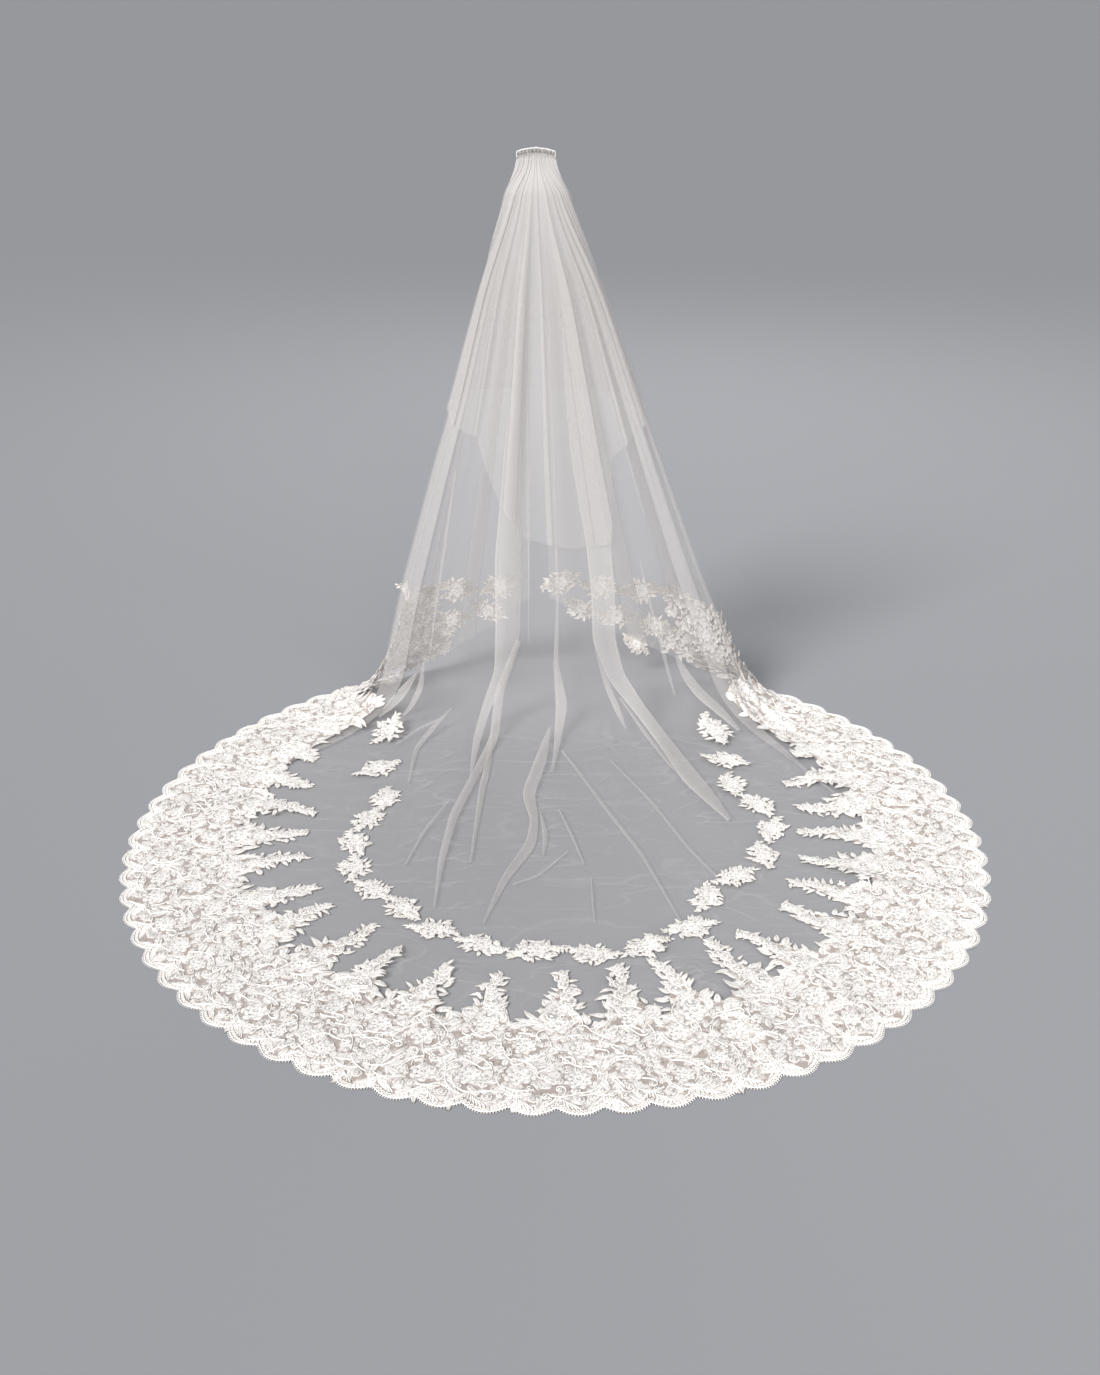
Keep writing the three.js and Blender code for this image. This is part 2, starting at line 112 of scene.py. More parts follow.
def plainWall(turn, drop, layer):
    wrap = mix(90, cone["freeEdge"], smooth(drop, 0, 420)) / 180
    angle = np.radians(turn * wrap)
    near = np.cos(angle) > 0
    power = np.where(near, 0.9, 0.625)
    halfWidth = np.where(turn < 0, coneValue("left", drop), coneValue("right", drop)) + layer["standOff"]
    halfDepth = np.where(near, coneValue("near", drop), coneValue("far", drop)) + layer["standOff"]
    x = halfWidth * keptSign(np.sin(angle), power)
    y = -halfDepth * keptSign(np.cos(angle), power)
    opened = smooth(drop, 30, 120)
    spread = (halfWidth - layer["standOff"]) / coneSections[0]["left"]
    headingX = turn / 180 * cone["headingWidth"] / 2 * spread
    arch = -cone["barArch"] * (turn / 180) ** 2 * (1 - smooth(drop, 0, 200))
    z = cone["headingTop"] + arch - drop * (1 + cone["headingTop"] / cone["floorZ"])
    return np.stack([mix(headingX, x, opened), mix(layer["headingY"], y, opened), z], -1)


def outwardAt(turn, drop, layer):
    along = plainWall(turn + 1, drop, layer) - plainWall(turn - 1, drop, layer)
    outward = np.stack([along[..., 1], -along[..., 0], np.zeros_like(turn)], -1)
    return outward / np.maximum(lengthOf(outward), 1e-9)


def gatherAt(turn, drop):
    size = np.where(drop < 200, mix(0.3, 0.8, smooth(drop, 60, 200)), mix(0.8, 0, smooth(drop, 200, 700)))
    return size * np.cos(np.pi * turn / (360 / cone["gathers"]))


def foldSum(turn, column, envelope, drifted=0.0):
    total = np.zeros_like(turn)
    for fold in mainFolds:
        away = np.clip(np.abs(turn - fold["turn"] - drifted * fold["drift"]) / fold["wide"], 0, 1)
        total += fold[column] * np.cos(away * np.pi / 2) ** 2 * envelope(fold)
    return total


def wall(turn, drop, layer, lift=0.0):
    out = gatherAt(turn, drop) + foldSum(turn, "rise", lambda fold: smooth(drop, 60, 900)) + lift
    return plainWall(turn, drop, layer) + outwardAt(turn, drop, layer) * out[..., None]


train = {
    "centre": (51, -760),
    "hemRadius": 1122,
    "hemTurnRatio": 1.124,
    "archStart": 128,
    "archEnd": 142,
    "layer": {"standOff": 0, "headingY": -3.2},
    "hangingRows": 92,
    "bendRows": 22,
    "floorRows": 78,
    "columnStep": 1.5,  # degrees between columns of the net where it has no pleat
    "layerHeight": 3.6,  # from one layer of a pleat to the next
    "flat": (2.9, 3.55),
    "area": 7.6,
}

archHem = named("turn up", [
    (130, 0), (137, 22), (146, 58), (153, 84), (165, 134), (171, 172), (176, 216), (180, 276),
])

# Flat pleats where the cloth folds over itself in three layers. The turns and widths, in degrees, are
# at the comb, the knee, the foot of the cone, a quarter and half of the way over the floor, and the hem.
pleatStops = (0, 1, 2, 2.13, 2.55, 3)
trainPleats = named("turns wides side", [
    ((-161, -161, -161, -161, -161, -161), (9, 7, 7, 7, 7, 7), -1),
    ((-136, -136, -136, -136, -136, -136), (8, 6, 5, 4, 3, 2), 1),
    ((-106, -107, -108, -108, -108, -108), (5, 4, 2, 1, 0.6, 0.4), -1),
    ((-74, -74, -75, -76, -78, -79), (27, 25, 6, 2, 0.8, 0.4), -1),
    ((60, 64, 64, 63, 62, 62), (14, 12, 4, 1.5, 0.6, 0.3), 1),
    ((86, 88, 89, 90, 92, 93), (9, 7, 3, 1, 0.6, 0.3), -1),
    ((112, 112, 112, 112, 112, 112), (6, 4, 2, 1, 0.6, 0.4), 1),
    ((138, 138, 138, 138, 138, 138), (8, 6, 5, 4, 3, 2), -1),
    ((160, 160, 160, 160, 160, 160), (9, 7, 7, 7, 7, 7), 1),
])
# One pleat across: share of its width, height in layers, and how much denser the net looks
# where it turns round at a fold's edge
pleatCourse = named("at lift edge", [
    (-0.5, 0.0, 0.0), (0.0, 0.06, 0.0), (0.42, 0.15, 0.0), (0.5, 0.55, 1.0), (0.42, 1.0, 0.0),
    (0.0, 1.1, 0.0), (-0.42, 1.2, 0.0), (-0.5, 1.6, 1.0), (-0.42, 2.05, 0.0), (0.0, 2.15, 0.0),
    (0.5, 2.0, 0.0),
])
settleTurn = 2.4  # degrees over which the top layer comes down again


def pleatAnchors(pleats, stop):
    # turn and height of every fixed column at one stop down the cloth, from one free edge to the other
    turns, lifts, edges = [-180.0], [0.0], [0.5]
    for pleat in pleats:
        middle = np.interp(stop, pleatStops, pleat["turns"])
        width = np.interp(stop, pleatStops, pleat["wides"])
        settle = settleTurn * min(1, 0.25 + width / 8)
        across = width * pleat["side"]
        course = [(middle + row["at"] * across, row["lift"], row["edge"]) for row in pleatCourse]
        course.append((middle + (0.5 * width + settle) * pleat["side"], 0.0, 0.0))
        if pleat["side"] < 0:
            course.reverse()
        for turn, lift, edge in course:
            turns.append(turn)
            lifts.append(lift)
            edges.append(edge * min(1, width / 2))
    return np.array(turns + [180.0]), np.array(lifts + [0.0]), np.array(edges + [0.5])


def columnPlan(pleats, step):
    # cloth coordinate of the fixed columns, with plain columns set in between the pleats
    widest = pleatAnchors(pleats, 0.6)[0]
    fixed = np.concatenate([[0], np.cumsum(np.abs(np.diff(widest)))])
    columns = [0.0]
    for start, end in zip(fixed[:-1], fixed[1:]):
        pieces = max(1, int(round((end - start) / step)))
        columns.extend(start + (end - start) * (i + 1) / pieces for i in range(pieces))
    return fixed, np.array(columns)


def archDrop(turn):
    return -cone["clothZ"] - fromTable(archHem, "turn", "up", np.abs(turn))


def circlePoint(turn, radius):
    angle = np.radians(turn * train["hemTurnRatio"])
    x = train["centre"][0] + radius * np.sin(angle)
    y = train["centre"][1] - radius * np.cos(angle)
    return np.stack([x, y, np.full_like(turn, cone["clothZ"])], -1)


studio = {
    "floorHex": "#95969a",
    "floorHalf": 900,  # so wide that its edge lies at the horizon
    "clipEnd": 3000,
    "skyHex": "#cdced1",
    "skyStrength": 0.5,
    "cameraAt": (0.038, -4.29, 0.39),
    "pitch": 24.95,  # degrees below level
    "lens": 39.27,
}

# Folds of the lace band: angle about the train's centre, half width in degrees, height and the
# radius where each begins
bandFolds = named("angle wide high start", [
    (-96, 2.2, 9, 640), (-58, 1.6, 8, 700), (-31, 1.5, 12, 560), (-19, 1.2, 7, 500), (8, 1.3, 9, 600),
    (26, 1.4, 13, 450), (41, 1.5, 9, 640), (72, 1.8, 10, 600), (101, 2.0, 8, 640),
])


def floorRelief(x, y):
    # radial folds and small ripples of the cloth where it lies on the floor
    dx, dy = x - train["centre"][0], y - train["centre"][1]
    angle = np.degrees(np.arctan2(dx, -dy))
    radius = np.hypot(dx, dy)
    height = np.zeros_like(x)
    for fold in bandFolds:
        reach = smooth(radius, fold["start"], fold["start"] + 160) * (1 - 0.5 * smooth(radius, 1000, 1150))
        away = (angle - fold["angle"] - 1.2 * np.sin(radius / 130 + fold["angle"])) / fold["wide"]
        height += fold["high"] * np.exp(-(away**2)) * reach
    ripple = 1.1 * np.sin(angle * 1.1 + 2 * np.sin(radius / 210))
    ripple += 0.9 * np.sin(angle * 1.9 + 1.3 + radius / 90)
    ripple += 0.7 * np.sin(x / 31 + 1.7 * np.sin(y / 75)) + 0.7 * np.sin((x + y) / 43 + 0.8)
    return height + np.maximum(0, ripple + 1.2) * smooth(radius, 60, 300)


def trainRow(turn, lift, along):
    # one row of the train: 0 at the comb, 1 at the knee, 2 at the foot of the cone, 3 at the hem
    layer = train["layer"]
    far = smooth(np.abs(turn), train["archStart"], train["archEnd"])
    hemDrop = archDrop(turn)
    floorDrop = -cone["floorZ"] + 0 * turn
    beside = smooth(np.abs(turn), 82, 108)
    kneeTop = floorDrop - mix(cone["kneeHeight"], cone["sideKneeHeight"], beside)
    kneeDrop = mix(kneeTop, 0.86 * hemDrop, far)
    if along <= 1:
        drop = along * kneeDrop
        return wall(turn, drop, layer, lift * mix(0.35, 1, smooth(drop, 0, 700)))
    knee = wall(turn, kneeTop, layer)
    base = wall(turn, floorDrop, layer)
    base[..., 2] = cone["clothZ"]
    hem = circlePoint(turn, train["hemRadius"])
    way = hem - base
    reach = np.minimum(cone["kneeReach"], 0.45 * lengthOf(way))
    foot = base + way / lengthOf(way) * reach
    outward = outwardAt(turn, floorDrop, layer)
    if along <= 2:
        at = along - 1
        point = knee * (1 - at) ** 2 + base * 2 * (1 - at) * at + foot * at**2
        point[..., 2] += foldSum(turn, "ridge", lambda fold: at, at)
        farDrop = hemDrop * (0.86 + 0.08 * at)
        upright = mix(outward, np.array([0, 0, 1.0]), smooth(at, 0.2, 0.9))
    else:
        at = along - 2
        point = mix(foot, hem, at)
        drifted = mix(1, 0.3, smooth(at, 0.15, 0.6))
        point[..., 2] += foldSum(turn, "ridge", lambda fold: 1 - smooth(at, 0, fold["reach"]), drifted)
        farDrop = hemDrop * (0.94 + 0.06 * at)
        upright = np.zeros_like(point) + np.array([0, 0, 1.0])
    onFloor = smooth(along, 1.5, 2.1)
    point[..., 2] += floorRelief(point[..., 0], point[..., 1]) * onFloor
    farPoint = wall(turn, farDrop, layer)
    point = mix(point, farPoint, far[..., None])
    upright = mix(upright, outward, far[..., None])
    return point + upright / np.maximum(lengthOf(upright), 1e-9) * lift[..., None]


def netGrid(pleats, step, alongs, rowAt, layerHeight):
    fixed, columns = columnPlan(pleats, step)
    rows, edges = [], []
    for along in alongs:
        anchorTurns, anchorLifts, anchorEdges = pleatAnchors(pleats, along)
        turn = np.interp(columns, fixed, anchorTurns)
        lift = np.interp(columns, fixed, anchorLifts) * layerHeight
        rows.append(rowAt(turn, lift, along))
        edges.append(np.interp(columns, fixed, anchorEdges))
    return np.array(rows), np.array(edges), columns


def gridTriangles(rowCount, columnCount, closed=False):
    lastColumn = columnCount if closed else columnCount - 1
    row, column = np.meshgrid(np.arange(rowCount - 1), np.arange(lastColumn), indexing="ij")
    following = (column + 1) % columnCount
    a, b = row * columnCount + column, row * columnCount + following
    c, d = a + columnCount, b + columnCount
    return np.concatenate([np.stack([a, c, b], -1).reshape(-1, 3), np.stack([b, c, d], -1).reshape(-1, 3)])


def setAttribute(mesh, name, values):
    attribute = mesh.attributes.new(name, "FLOAT", "POINT")
    attribute.data.foreach_set("value", np.asarray(values, np.float32).ravel())


def meshPiece(name, points, faces, material):
    mesh = bpy.data.meshes.new(name)
    points = np.asarray(points, np.float32).reshape(-1, 3) * mm
    faces = np.asarray(faces, np.int32).reshape(-1, 3)
    mesh.vertices.add(len(points))
    mesh.vertices.foreach_set("co", points.ravel())
    mesh.loops.add(len(faces) * 3)
    mesh.loops.foreach_set("vertex_index", faces.ravel())
    mesh.polygons.add(len(faces))
    mesh.polygons.foreach_set("loop_start", np.arange(len(faces), dtype=np.int32) * 3)
    mesh.polygons.foreach_set("use_smooth", np.ones(len(faces), bool))
    mesh.update(calc_edges=True)
    mesh.materials.append(material)
    piece = bpy.data.objects.new(name, mesh)
    scene.collection.objects.link(piece)
    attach(piece, "root")
    print(f"{name}: {len(faces)} triangles")
    return piece


# Materials

def toLinear(hexColour):
    channels = [int(hexColour[i : i + 2], 16) / 255 for i in (1, 3, 5)]
    return tuple(c / 12.92 if c <= 0.04045 else ((c + 0.055) / 1.055) ** 2.4 for c in channels) + (1.0,)


def addNode(tree, kind, values=None, links=None, **settings):
    node = tree.nodes.new(kind)
    for name, value in settings.items():
        setattr(node, name, value)
    for socket, value in (values or {}).items():
        node.inputs[socket].default_value = value
    for socket, source in (links or {}).items():
        tree.links.new(source, node.inputs[socket])
    return node


def newMaterial(name, shaderValues):
    material = bpy.data.materials.new(name)
    material.use_nodes = True
    shader = material.node_tree.nodes["Principled BSDF"]
    for socket, value in shaderValues.items():
        shader.inputs[socket].default_value = value
    return material, material.node_tree, shader


def mapRange(tree, source, fromMin, fromMax, toMin=0.0, toMax=1.0):
    values = {"From Min": fromMin, "From Max": fromMax, "To Min": toMin, "To Max": toMax}
    return addNode(tree, "ShaderNodeMapRange", values, {"Value": source}).outputs[0]


def mathNode(tree, operation, first, second, **settings):
    node = addNode(tree, "ShaderNodeMath", None, {0: first, 1: second}, operation=operation, **settings)
    return node.outputs[0]


def softTulleNet():
    # nylon tulle, knitted net of 1 mm holes: a matt see-through veil of white, denser where it is gathered
    values = {"Base Color": toLinear("#d6d2cf"), "Roughness": 0.85, "IOR": 1.5, "Specular IOR Level": 0.2,
              "Sheen Weight": 0.1, "Sheen Roughness": 0.4}
    material, tree, shader = newMaterial("softTulleNet", values)
    cover = addNode(tree, "ShaderNodeAttribute", attribute_name="cover").outputs["Fac"]
    place = addNode(tree, "ShaderNodeUVMap", uv_map="cloth").outputs["UV"]
    slack = addNode(tree, "ShaderNodeAttribute", attribute_name="slack").outputs["Fac"]
    # soft gather lines run down the cloth, about 25 mm apart in its width and long in its length
    stretched = addNode(tree, "ShaderNodeMapping", {"Scale": (80, 0.8, 1)}, {"Vector": place})
    lines = addNode(tree, "ShaderNodeTexNoise", {"Scale": 1.0, "Detail": 2.0, "Roughness": 0.5},
                    {"Vector": stretched.outputs["Vector"]})
    contrast = mapRange(tree, lines.outputs["Fac"], 0.3, 0.7, 0.93, 1.07)
    # creases of cloth that was folded away, seen where it lies slack: bright lines 2 to 4 mm wide
    spot = addNode(tree, "ShaderNodeTexCoord").outputs["Object"]
    total = mathNode(tree, "MULTIPLY", cover, contrast)
    creaseSets = ((0.5, (2.6, 8.0, 1), 0.12), (-0.75, (3.4, 9.0, 1), 0.1), (1.35, (5.0, 11.0, 1), 0.07))
    for turn, scale, depth in creaseSets:
        bent = addNode(tree, "ShaderNodeMapping", {"Scale": scale, "Rotation": (0, 0, turn)},
                       {"Vector": spot})
        creases = addNode(tree, "ShaderNodeTexNoise", {"Scale": 1.0, "Detail": 1.0, "Distortion": 0.25},
                          {"Vector": bent.outputs["Vector"]})
        offset = addNode(tree, "ShaderNodeMath", {1: 0.5}, {0: creases.outputs["Fac"]}, operation="SUBTRACT")
        size = addNode(tree, "ShaderNodeMath", None, {0: offset.outputs[0]}, operation="ABSOLUTE")
        thin = mapRange(tree, size.outputs[0], 0.0, 0.016, depth, 0.0)
        total = mathNode(tree, "ADD", total, mathNode(tree, "MULTIPLY", thin, slack), use_clamp=True)
    tree.links.new(total, shader.inputs["Alpha"])
    return material


def embroideredLace(name, hollowShadeHex, ribbing):
    # cotton satin stitch on net: matt warm white with fine thread ribs, and painted shade in its hollows
    values = {"Roughness": 0.78, "IOR": 1.5, "Specular IOR Level": 0.3, "Sheen Weight": 0.15,
              "Sheen Roughness": 0.5}
    material, tree, shader = newMaterial(name, values)
    place = addNode(tree, "ShaderNodeTexCoord").outputs["Object"]
    # painted shade: the low parts, in the hollows and at the rims, turn greyish beige and the raised parts
    # white, with a random grain jitter on the border between them
    rise = addNode(tree, "ShaderNodeAttribute", attribute_name="rise").outputs["Fac"]
    grain = addNode(tree, "ShaderNodeTexNoise", {"Scale": 140.0, "Detail": 2.0}, {"Vector": place})
    shadeJitter = mapRange(tree, grain.outputs["Fac"], 0.3, 0.7, -0.14, 0.14)
    paintedShadeMix = mapRange(tree, mathNode(tree, "ADD", rise, shadeJitter), 0.08, 0.75)
    colour = addNode(tree, "ShaderNodeMix", {6: toLinear(hollowShadeHex), 7: toLinear("#f7f4f0")}, {0: paintedShadeMix},
                     data_type="RGBA")
    # pin-head eyes between the stitches, 7.5 mm apart, are painted dark: painted shade standing in for the
    # dark behind the holes
    eyes = addNode(tree, "ShaderNodeTexVoronoi", {"Scale": 1 / 0.0075, "Randomness": 0.95}, {"Vector": place})
    eyeShadeMask = mapRange(tree, eyes.outputs["Distance"], 0.16, 0.24, 0.62, 0.0)
    eyeShadeColour = addNode(tree, "ShaderNodeMix", {7: toLinear("#6f6862")}, {0: eyeShadeMask, 6: colour.outputs[2]},
                      data_type="RGBA")
    tree.links.new(eyeShadeColour.outputs[2], shader.inputs["Base Color"])
    # threads are 0.4 mm apart; drawn 1.6 mm apart, or they would not show
    turned = addNode(tree, "ShaderNodeTexNoise", {"Scale": 18.0, "Detail": 0.0}, {"Vector": place})
    shifted = addNode(tree, "ShaderNodeVectorMath", {3: 0.12}, {0: turned.outputs["Color"]},
                      operation="SCALE")
    wandering = addNode(tree, "ShaderNodeVectorMath", None, {0: place, 1: shifted.outputs[0]},
                        operation="ADD")
    threads = addNode(tree, "ShaderNodeTexWave", {"Scale": 1 / 0.0016 / 6.28, "Distortion": 1.5},
                      {"Vector": wandering.outputs[0]}, wave_type="BANDS", bands_direction="DIAGONAL")
    bump = addNode(tree, "ShaderNodeBump", {"Strength": ribbing, "Distance": 0.0008},
                   {"Height": threads.outputs["Fac"]})
    tree.links.new(bump.outputs[0], shader.inputs["Normal"])
    return material


def laceGroundNet():
    # net ground between the flowers: greyish beige mesh with whiter darned patches and small open eyes
    values = {"Roughness": 0.85, "IOR": 1.5, "Specular IOR Level": 0.2}
    material, tree, shader = newMaterial("laceGroundNet", values)
    place = addNode(tree, "ShaderNodeTexCoord").outputs["Object"]
    patches = addNode(tree, "ShaderNodeTexNoise", {"Scale": 42.0, "Detail": 3.0, "Roughness": 0.6},
                      {"Vector": place})
    darned = mapRange(tree, patches.outputs["Fac"], 0.46, 0.56)
    colour = addNode(tree, "ShaderNodeMix", {6: toLinear("#b7aca5"), 7: toLinear("#f1ece8")}, {0: darned},
                     data_type="RGBA")
    tree.links.new(colour.outputs[2], shader.inputs["Base Color"])
    # eyes 3 mm wide and about 11 mm apart
    eyes = addNode(tree, "ShaderNodeTexVoronoi", {"Scale": 1 / 0.011, "Randomness": 0.9}, {"Vector": place})
    tree.links.new(mapRange(tree, eyes.outputs["Distance"], 0.13, 0.2, 0.12, 0.9), shader.inputs["Alpha"])
    ridges = addNode(tree, "ShaderNodeBump", {"Strength": 0.7, "Distance": 0.0015},
                     {"Height": patches.outputs["Fac"]})
    tree.links.new(ridges.outputs[0], shader.inputs["Normal"])
    return material


def mouldedPlastic():
    # injection-moulded acetal of the comb: ivory, satin, very slightly uneven
    values = {"Base Color": toLinear("#e6dfd3"), "IOR": 1.48, "Subsurface Weight": 0.05}
    material, tree, shader = newMaterial("mouldedIvoryPlastic", values)
    place = addNode(tree, "ShaderNodeTexCoord").outputs["Object"]
    uneven = addNode(tree, "ShaderNodeTexNoise", {"Scale": 260.0, "Detail": 2.0}, {"Vector": place})
    tree.links.new(mapRange(tree, uneven.outputs["Fac"], 0.0, 1.0, 0.3, 0.48), shader.inputs["Roughness"])
    return material


tulleMaterial = softTulleNet()
# the second value is each lace's colour for its low parts, the painted shade of its hollows and rims
roseMaterial = embroideredLace("satinStitchWhite", "#b3a8a0", 0.6)
leafMaterial = embroideredLace("satinStitchIvory", "#b8ada5", 0.7)
cordMaterial = embroideredLace("cordedOutline", "#d4cbc4", 0.3)
farSprayMaterial = embroideredLace("appliquedSatinStitch", "#c9bfb8", 0.5)
# the binding's colour for its low parts is near black: painted shade in the grooves between its ribs
bindingMaterial = embroideredLace("ribbedNetBinding", "#3d3733", 0.1)
groundMaterial = laceGroundNet()
combMaterial = mouldedPlastic()


def dressNet(piece, turns, drops, covers, slacks):
    # cloth coordinates for the material and how much of the view each point of the net covers
    mesh = piece.data
    uvs = mesh.uv_layers.new(name="cloth")
    corners = np.zeros(len(mesh.loops), np.int32)
    mesh.loops.foreach_get("vertex_index", corners)
    places = np.stack([turns.ravel() / 360 + 0.5, drops.ravel() / 1000], -1)[corners]
    uvs.data.foreach_set("uv", places.astype(np.float32).ravel())
    setAttribute(mesh, "cover", covers)
    setAttribute(mesh, "slack", slacks)


# How dense the net looks down the cloth: it is gathered at the comb and single on the floor
coverByLength = named("length cover", [
    (0, 0.08),  # the stitched heading, single over the ribs of the binding
    (18, 0.1), (23, 0.8), (60, 0.7), (120, 0.56), (260, 0.42), (450, 0.33), (720, 0.26), (950, 0.19),
    (1350, 0.155), (1750, 0.14), (2200, 0.135),
])
edgeCover = 0.22  # how much denser a fold's edge looks


def lengthsDown(points):
    steps = np.linalg.norm(np.diff(points, axis=0), axis=-1)
    return np.concatenate([np.zeros((1, points.shape[1])), np.cumsum(steps, axis=0)])


def coversOf(lengths, edges, edgeShare):
    plain = fromTable(coverByLength, "length", "cover", lengths)
    return np.clip(plain + edgeShare * edgeCover * edges * smooth(lengths, 20, 200), 0, 1)


def trainTulle():
    alongs = np.concatenate([
        np.linspace(0, 1, train["hangingRows"]) ** 1.15,
        1 + np.linspace(0, 1, train["bendRows"] + 1)[1:],
        2 + np.linspace(0, 1, train["floorRows"] + 1)[1:],
    ])
    points, edges, columns = netGrid(trainPleats, train["columnStep"], alongs, trainRow, train["layerHeight"])
    lengths = lengthsDown(points)
    piece = meshPiece("train_net", points, gridTriangles(*points.shape[:2]), tulleMaterial)
    onFloor = smooth(alongs, 1.3, 2.1)[:, None] + 0 * lengths
    dressNet(piece, np.broadcast_to(columns, edges.shape), lengths, coversOf(lengths, edges, 1), onFloor)
    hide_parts("train_tulle")
    return piece, points


blusher = {
    "layer": {"standOff": 12, "headingY": -5.7},
    "rows": 120,
    "columnStep": 2.0,
    "layerHeight": 2.6,
    "flat": (1.5, 1.12),
    "area": 1.3,
}
# Length of the short layer below the comb, by turn
blusherHem = named("turn drop", [
    (-180, 690), (-90, 692), (-74, 752), (-38, 785), (-20, 950), (-4, 1090), (12, 1118), (26, 1100),
    (34, 850), (52, 785), (88, 712), (180, 690),
])
blusherPleats = named("turns wides side", [
    ((-150, -150), (9, 8), -1), ((-112, -112), (5, 4), 1), ((-76, -76), (24, 20), -1),
    ((-42, -40), (4, 3), 1), ((-13, -12), (9, 7), 1), ((2.5, 3.5), (2.4, 2), -1),
    ((22, 24), (10, 9), -1), ((44, 46), (4, 3), 1), ((70, 70), (16, 14), 1), ((110, 110), (5, 4), -1),
    ((148, 148), (9, 8), 1),
])


def blusherRow(turn, lift, along):
    drop = along * fromTable(blusherHem, "turn", "drop", turn)
    return wall(turn, drop, blusher["layer"], lift * mix(0.3, 1, smooth(drop, 0, 600)))


def blusherTulle():
    pleats = [{**row, "turns": np.interp(pleatStops, (0, 1), row["turns"]),
               "wides": np.interp(pleatStops, (0, 1), row["wides"])} for row in blusherPleats]
    alongs = np.linspace(0, 1, blusher["rows"])
    layerHeight = blusher["layerHeight"]
    points, edges, columns = netGrid(pleats, blusher["columnStep"], alongs, blusherRow, layerHeight)
    lengths = lengthsDown(points)
    piece = meshPiece("blusher_net", points, gridTriangles(*points.shape[:2]), tulleMaterial)
    shifted = np.broadcast_to(columns + 77, edges.shape)  # so its gather lines differ from the train's
    dressNet(piece, shifted, lengths, coversOf(lengths, edges, 0.7), 0 * lengths)
    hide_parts("blusher_tulle")
    return piece


trainPiece, trainPoints = trainTulle()
blusherPiece = blusherTulle()

# Height of the train's upper face over the floor, and depth of its far face, on a 5 mm raster
raster = {"step": 5.0, "plan": (-1125, -1945, 1225, 350), "front": (-760, -1690, 860, -1100)}


def castRaster(tree, box, start, direction, toRay, axis, missing, reach):
    xs = np.arange(box[0], box[2], raster["step"])
    ys = np.arange(box[1], box[3], raster["step"])
    heights = np.full((len(xs), len(ys)), missing, float)
    for i, x in enumerate(xs):
        for j, y in enumerate(ys):
            hit = tree.ray_cast(toRay(x, y, start), direction, reach)[0]
            if hit is not None:
                heights[i, j] = hit[axis]
    for _ in range(2):  # softens the steps at the pleats
        padded = np.pad(heights, 1, mode="edge")
        heights = sum(padded[i : i + len(xs), j : j + len(ys)] for i in range(3) for j in range(3)) / 9
    return heights


faces = gridTriangles(*trainPoints.shape[:2])
trainTree = BVHTree.FromPolygons(trainPoints.reshape(-1, 3).tolist(), faces.tolist(), all_triangles=True)
floorRaster = castRaster(trainTree, raster["plan"], 100, Vector((0, 0, -1)),
                         lambda x, y, z: Vector((x, y, z)), 2, cone["clothZ"], 5000)
farRaster = castRaster(trainTree, raster["front"], 900, Vector((0, -1, 0)),
                       lambda x, z, y: Vector((x, y, z)), 1, 250, 820)
print("cloth heights measured for the lace")


def readRaster(heights, box, x, y):
    i = np.clip((x - box[0]) / raster["step"], 0, heights.shape[0] - 1.001)
    j = np.clip((y - box[1]) / raster["step"], 0, heights.shape[1] - 1.001)
    i0, j0 = i.astype(int), j.astype(int)
    u, v = i - i0, j - j0
    low = mix(heights[i0, j0], heights[i0 + 1, j0], u)
    return mix(low, mix(heights[i0, j0 + 1], heights[i0 + 1, j0 + 1], u), v)


def ontoTrain(points):
    # plan x, y and height over the cloth, laid on the train
    x, y, high = points[:, 0], points[:, 1], points[:, 2]
    level = readRaster(floorRaster, raster["plan"], x, y)
    beside = 6  # the slope is taken over this distance to each side

    def fall(dx, dy):
        ahead = readRaster(floorRaster, raster["plan"], x - dx, y - dy)
        return (ahead - readRaster(floorRaster, raster["plan"], x + dx, y + dy)) / (2 * beside)

    normal = np.stack([fall(beside, 0), fall(0, beside), np.ones_like(x)], -1)
    normal /= lengthOf(normal)
    return np.stack([x, y, level], -1) + normal * high[:, None]


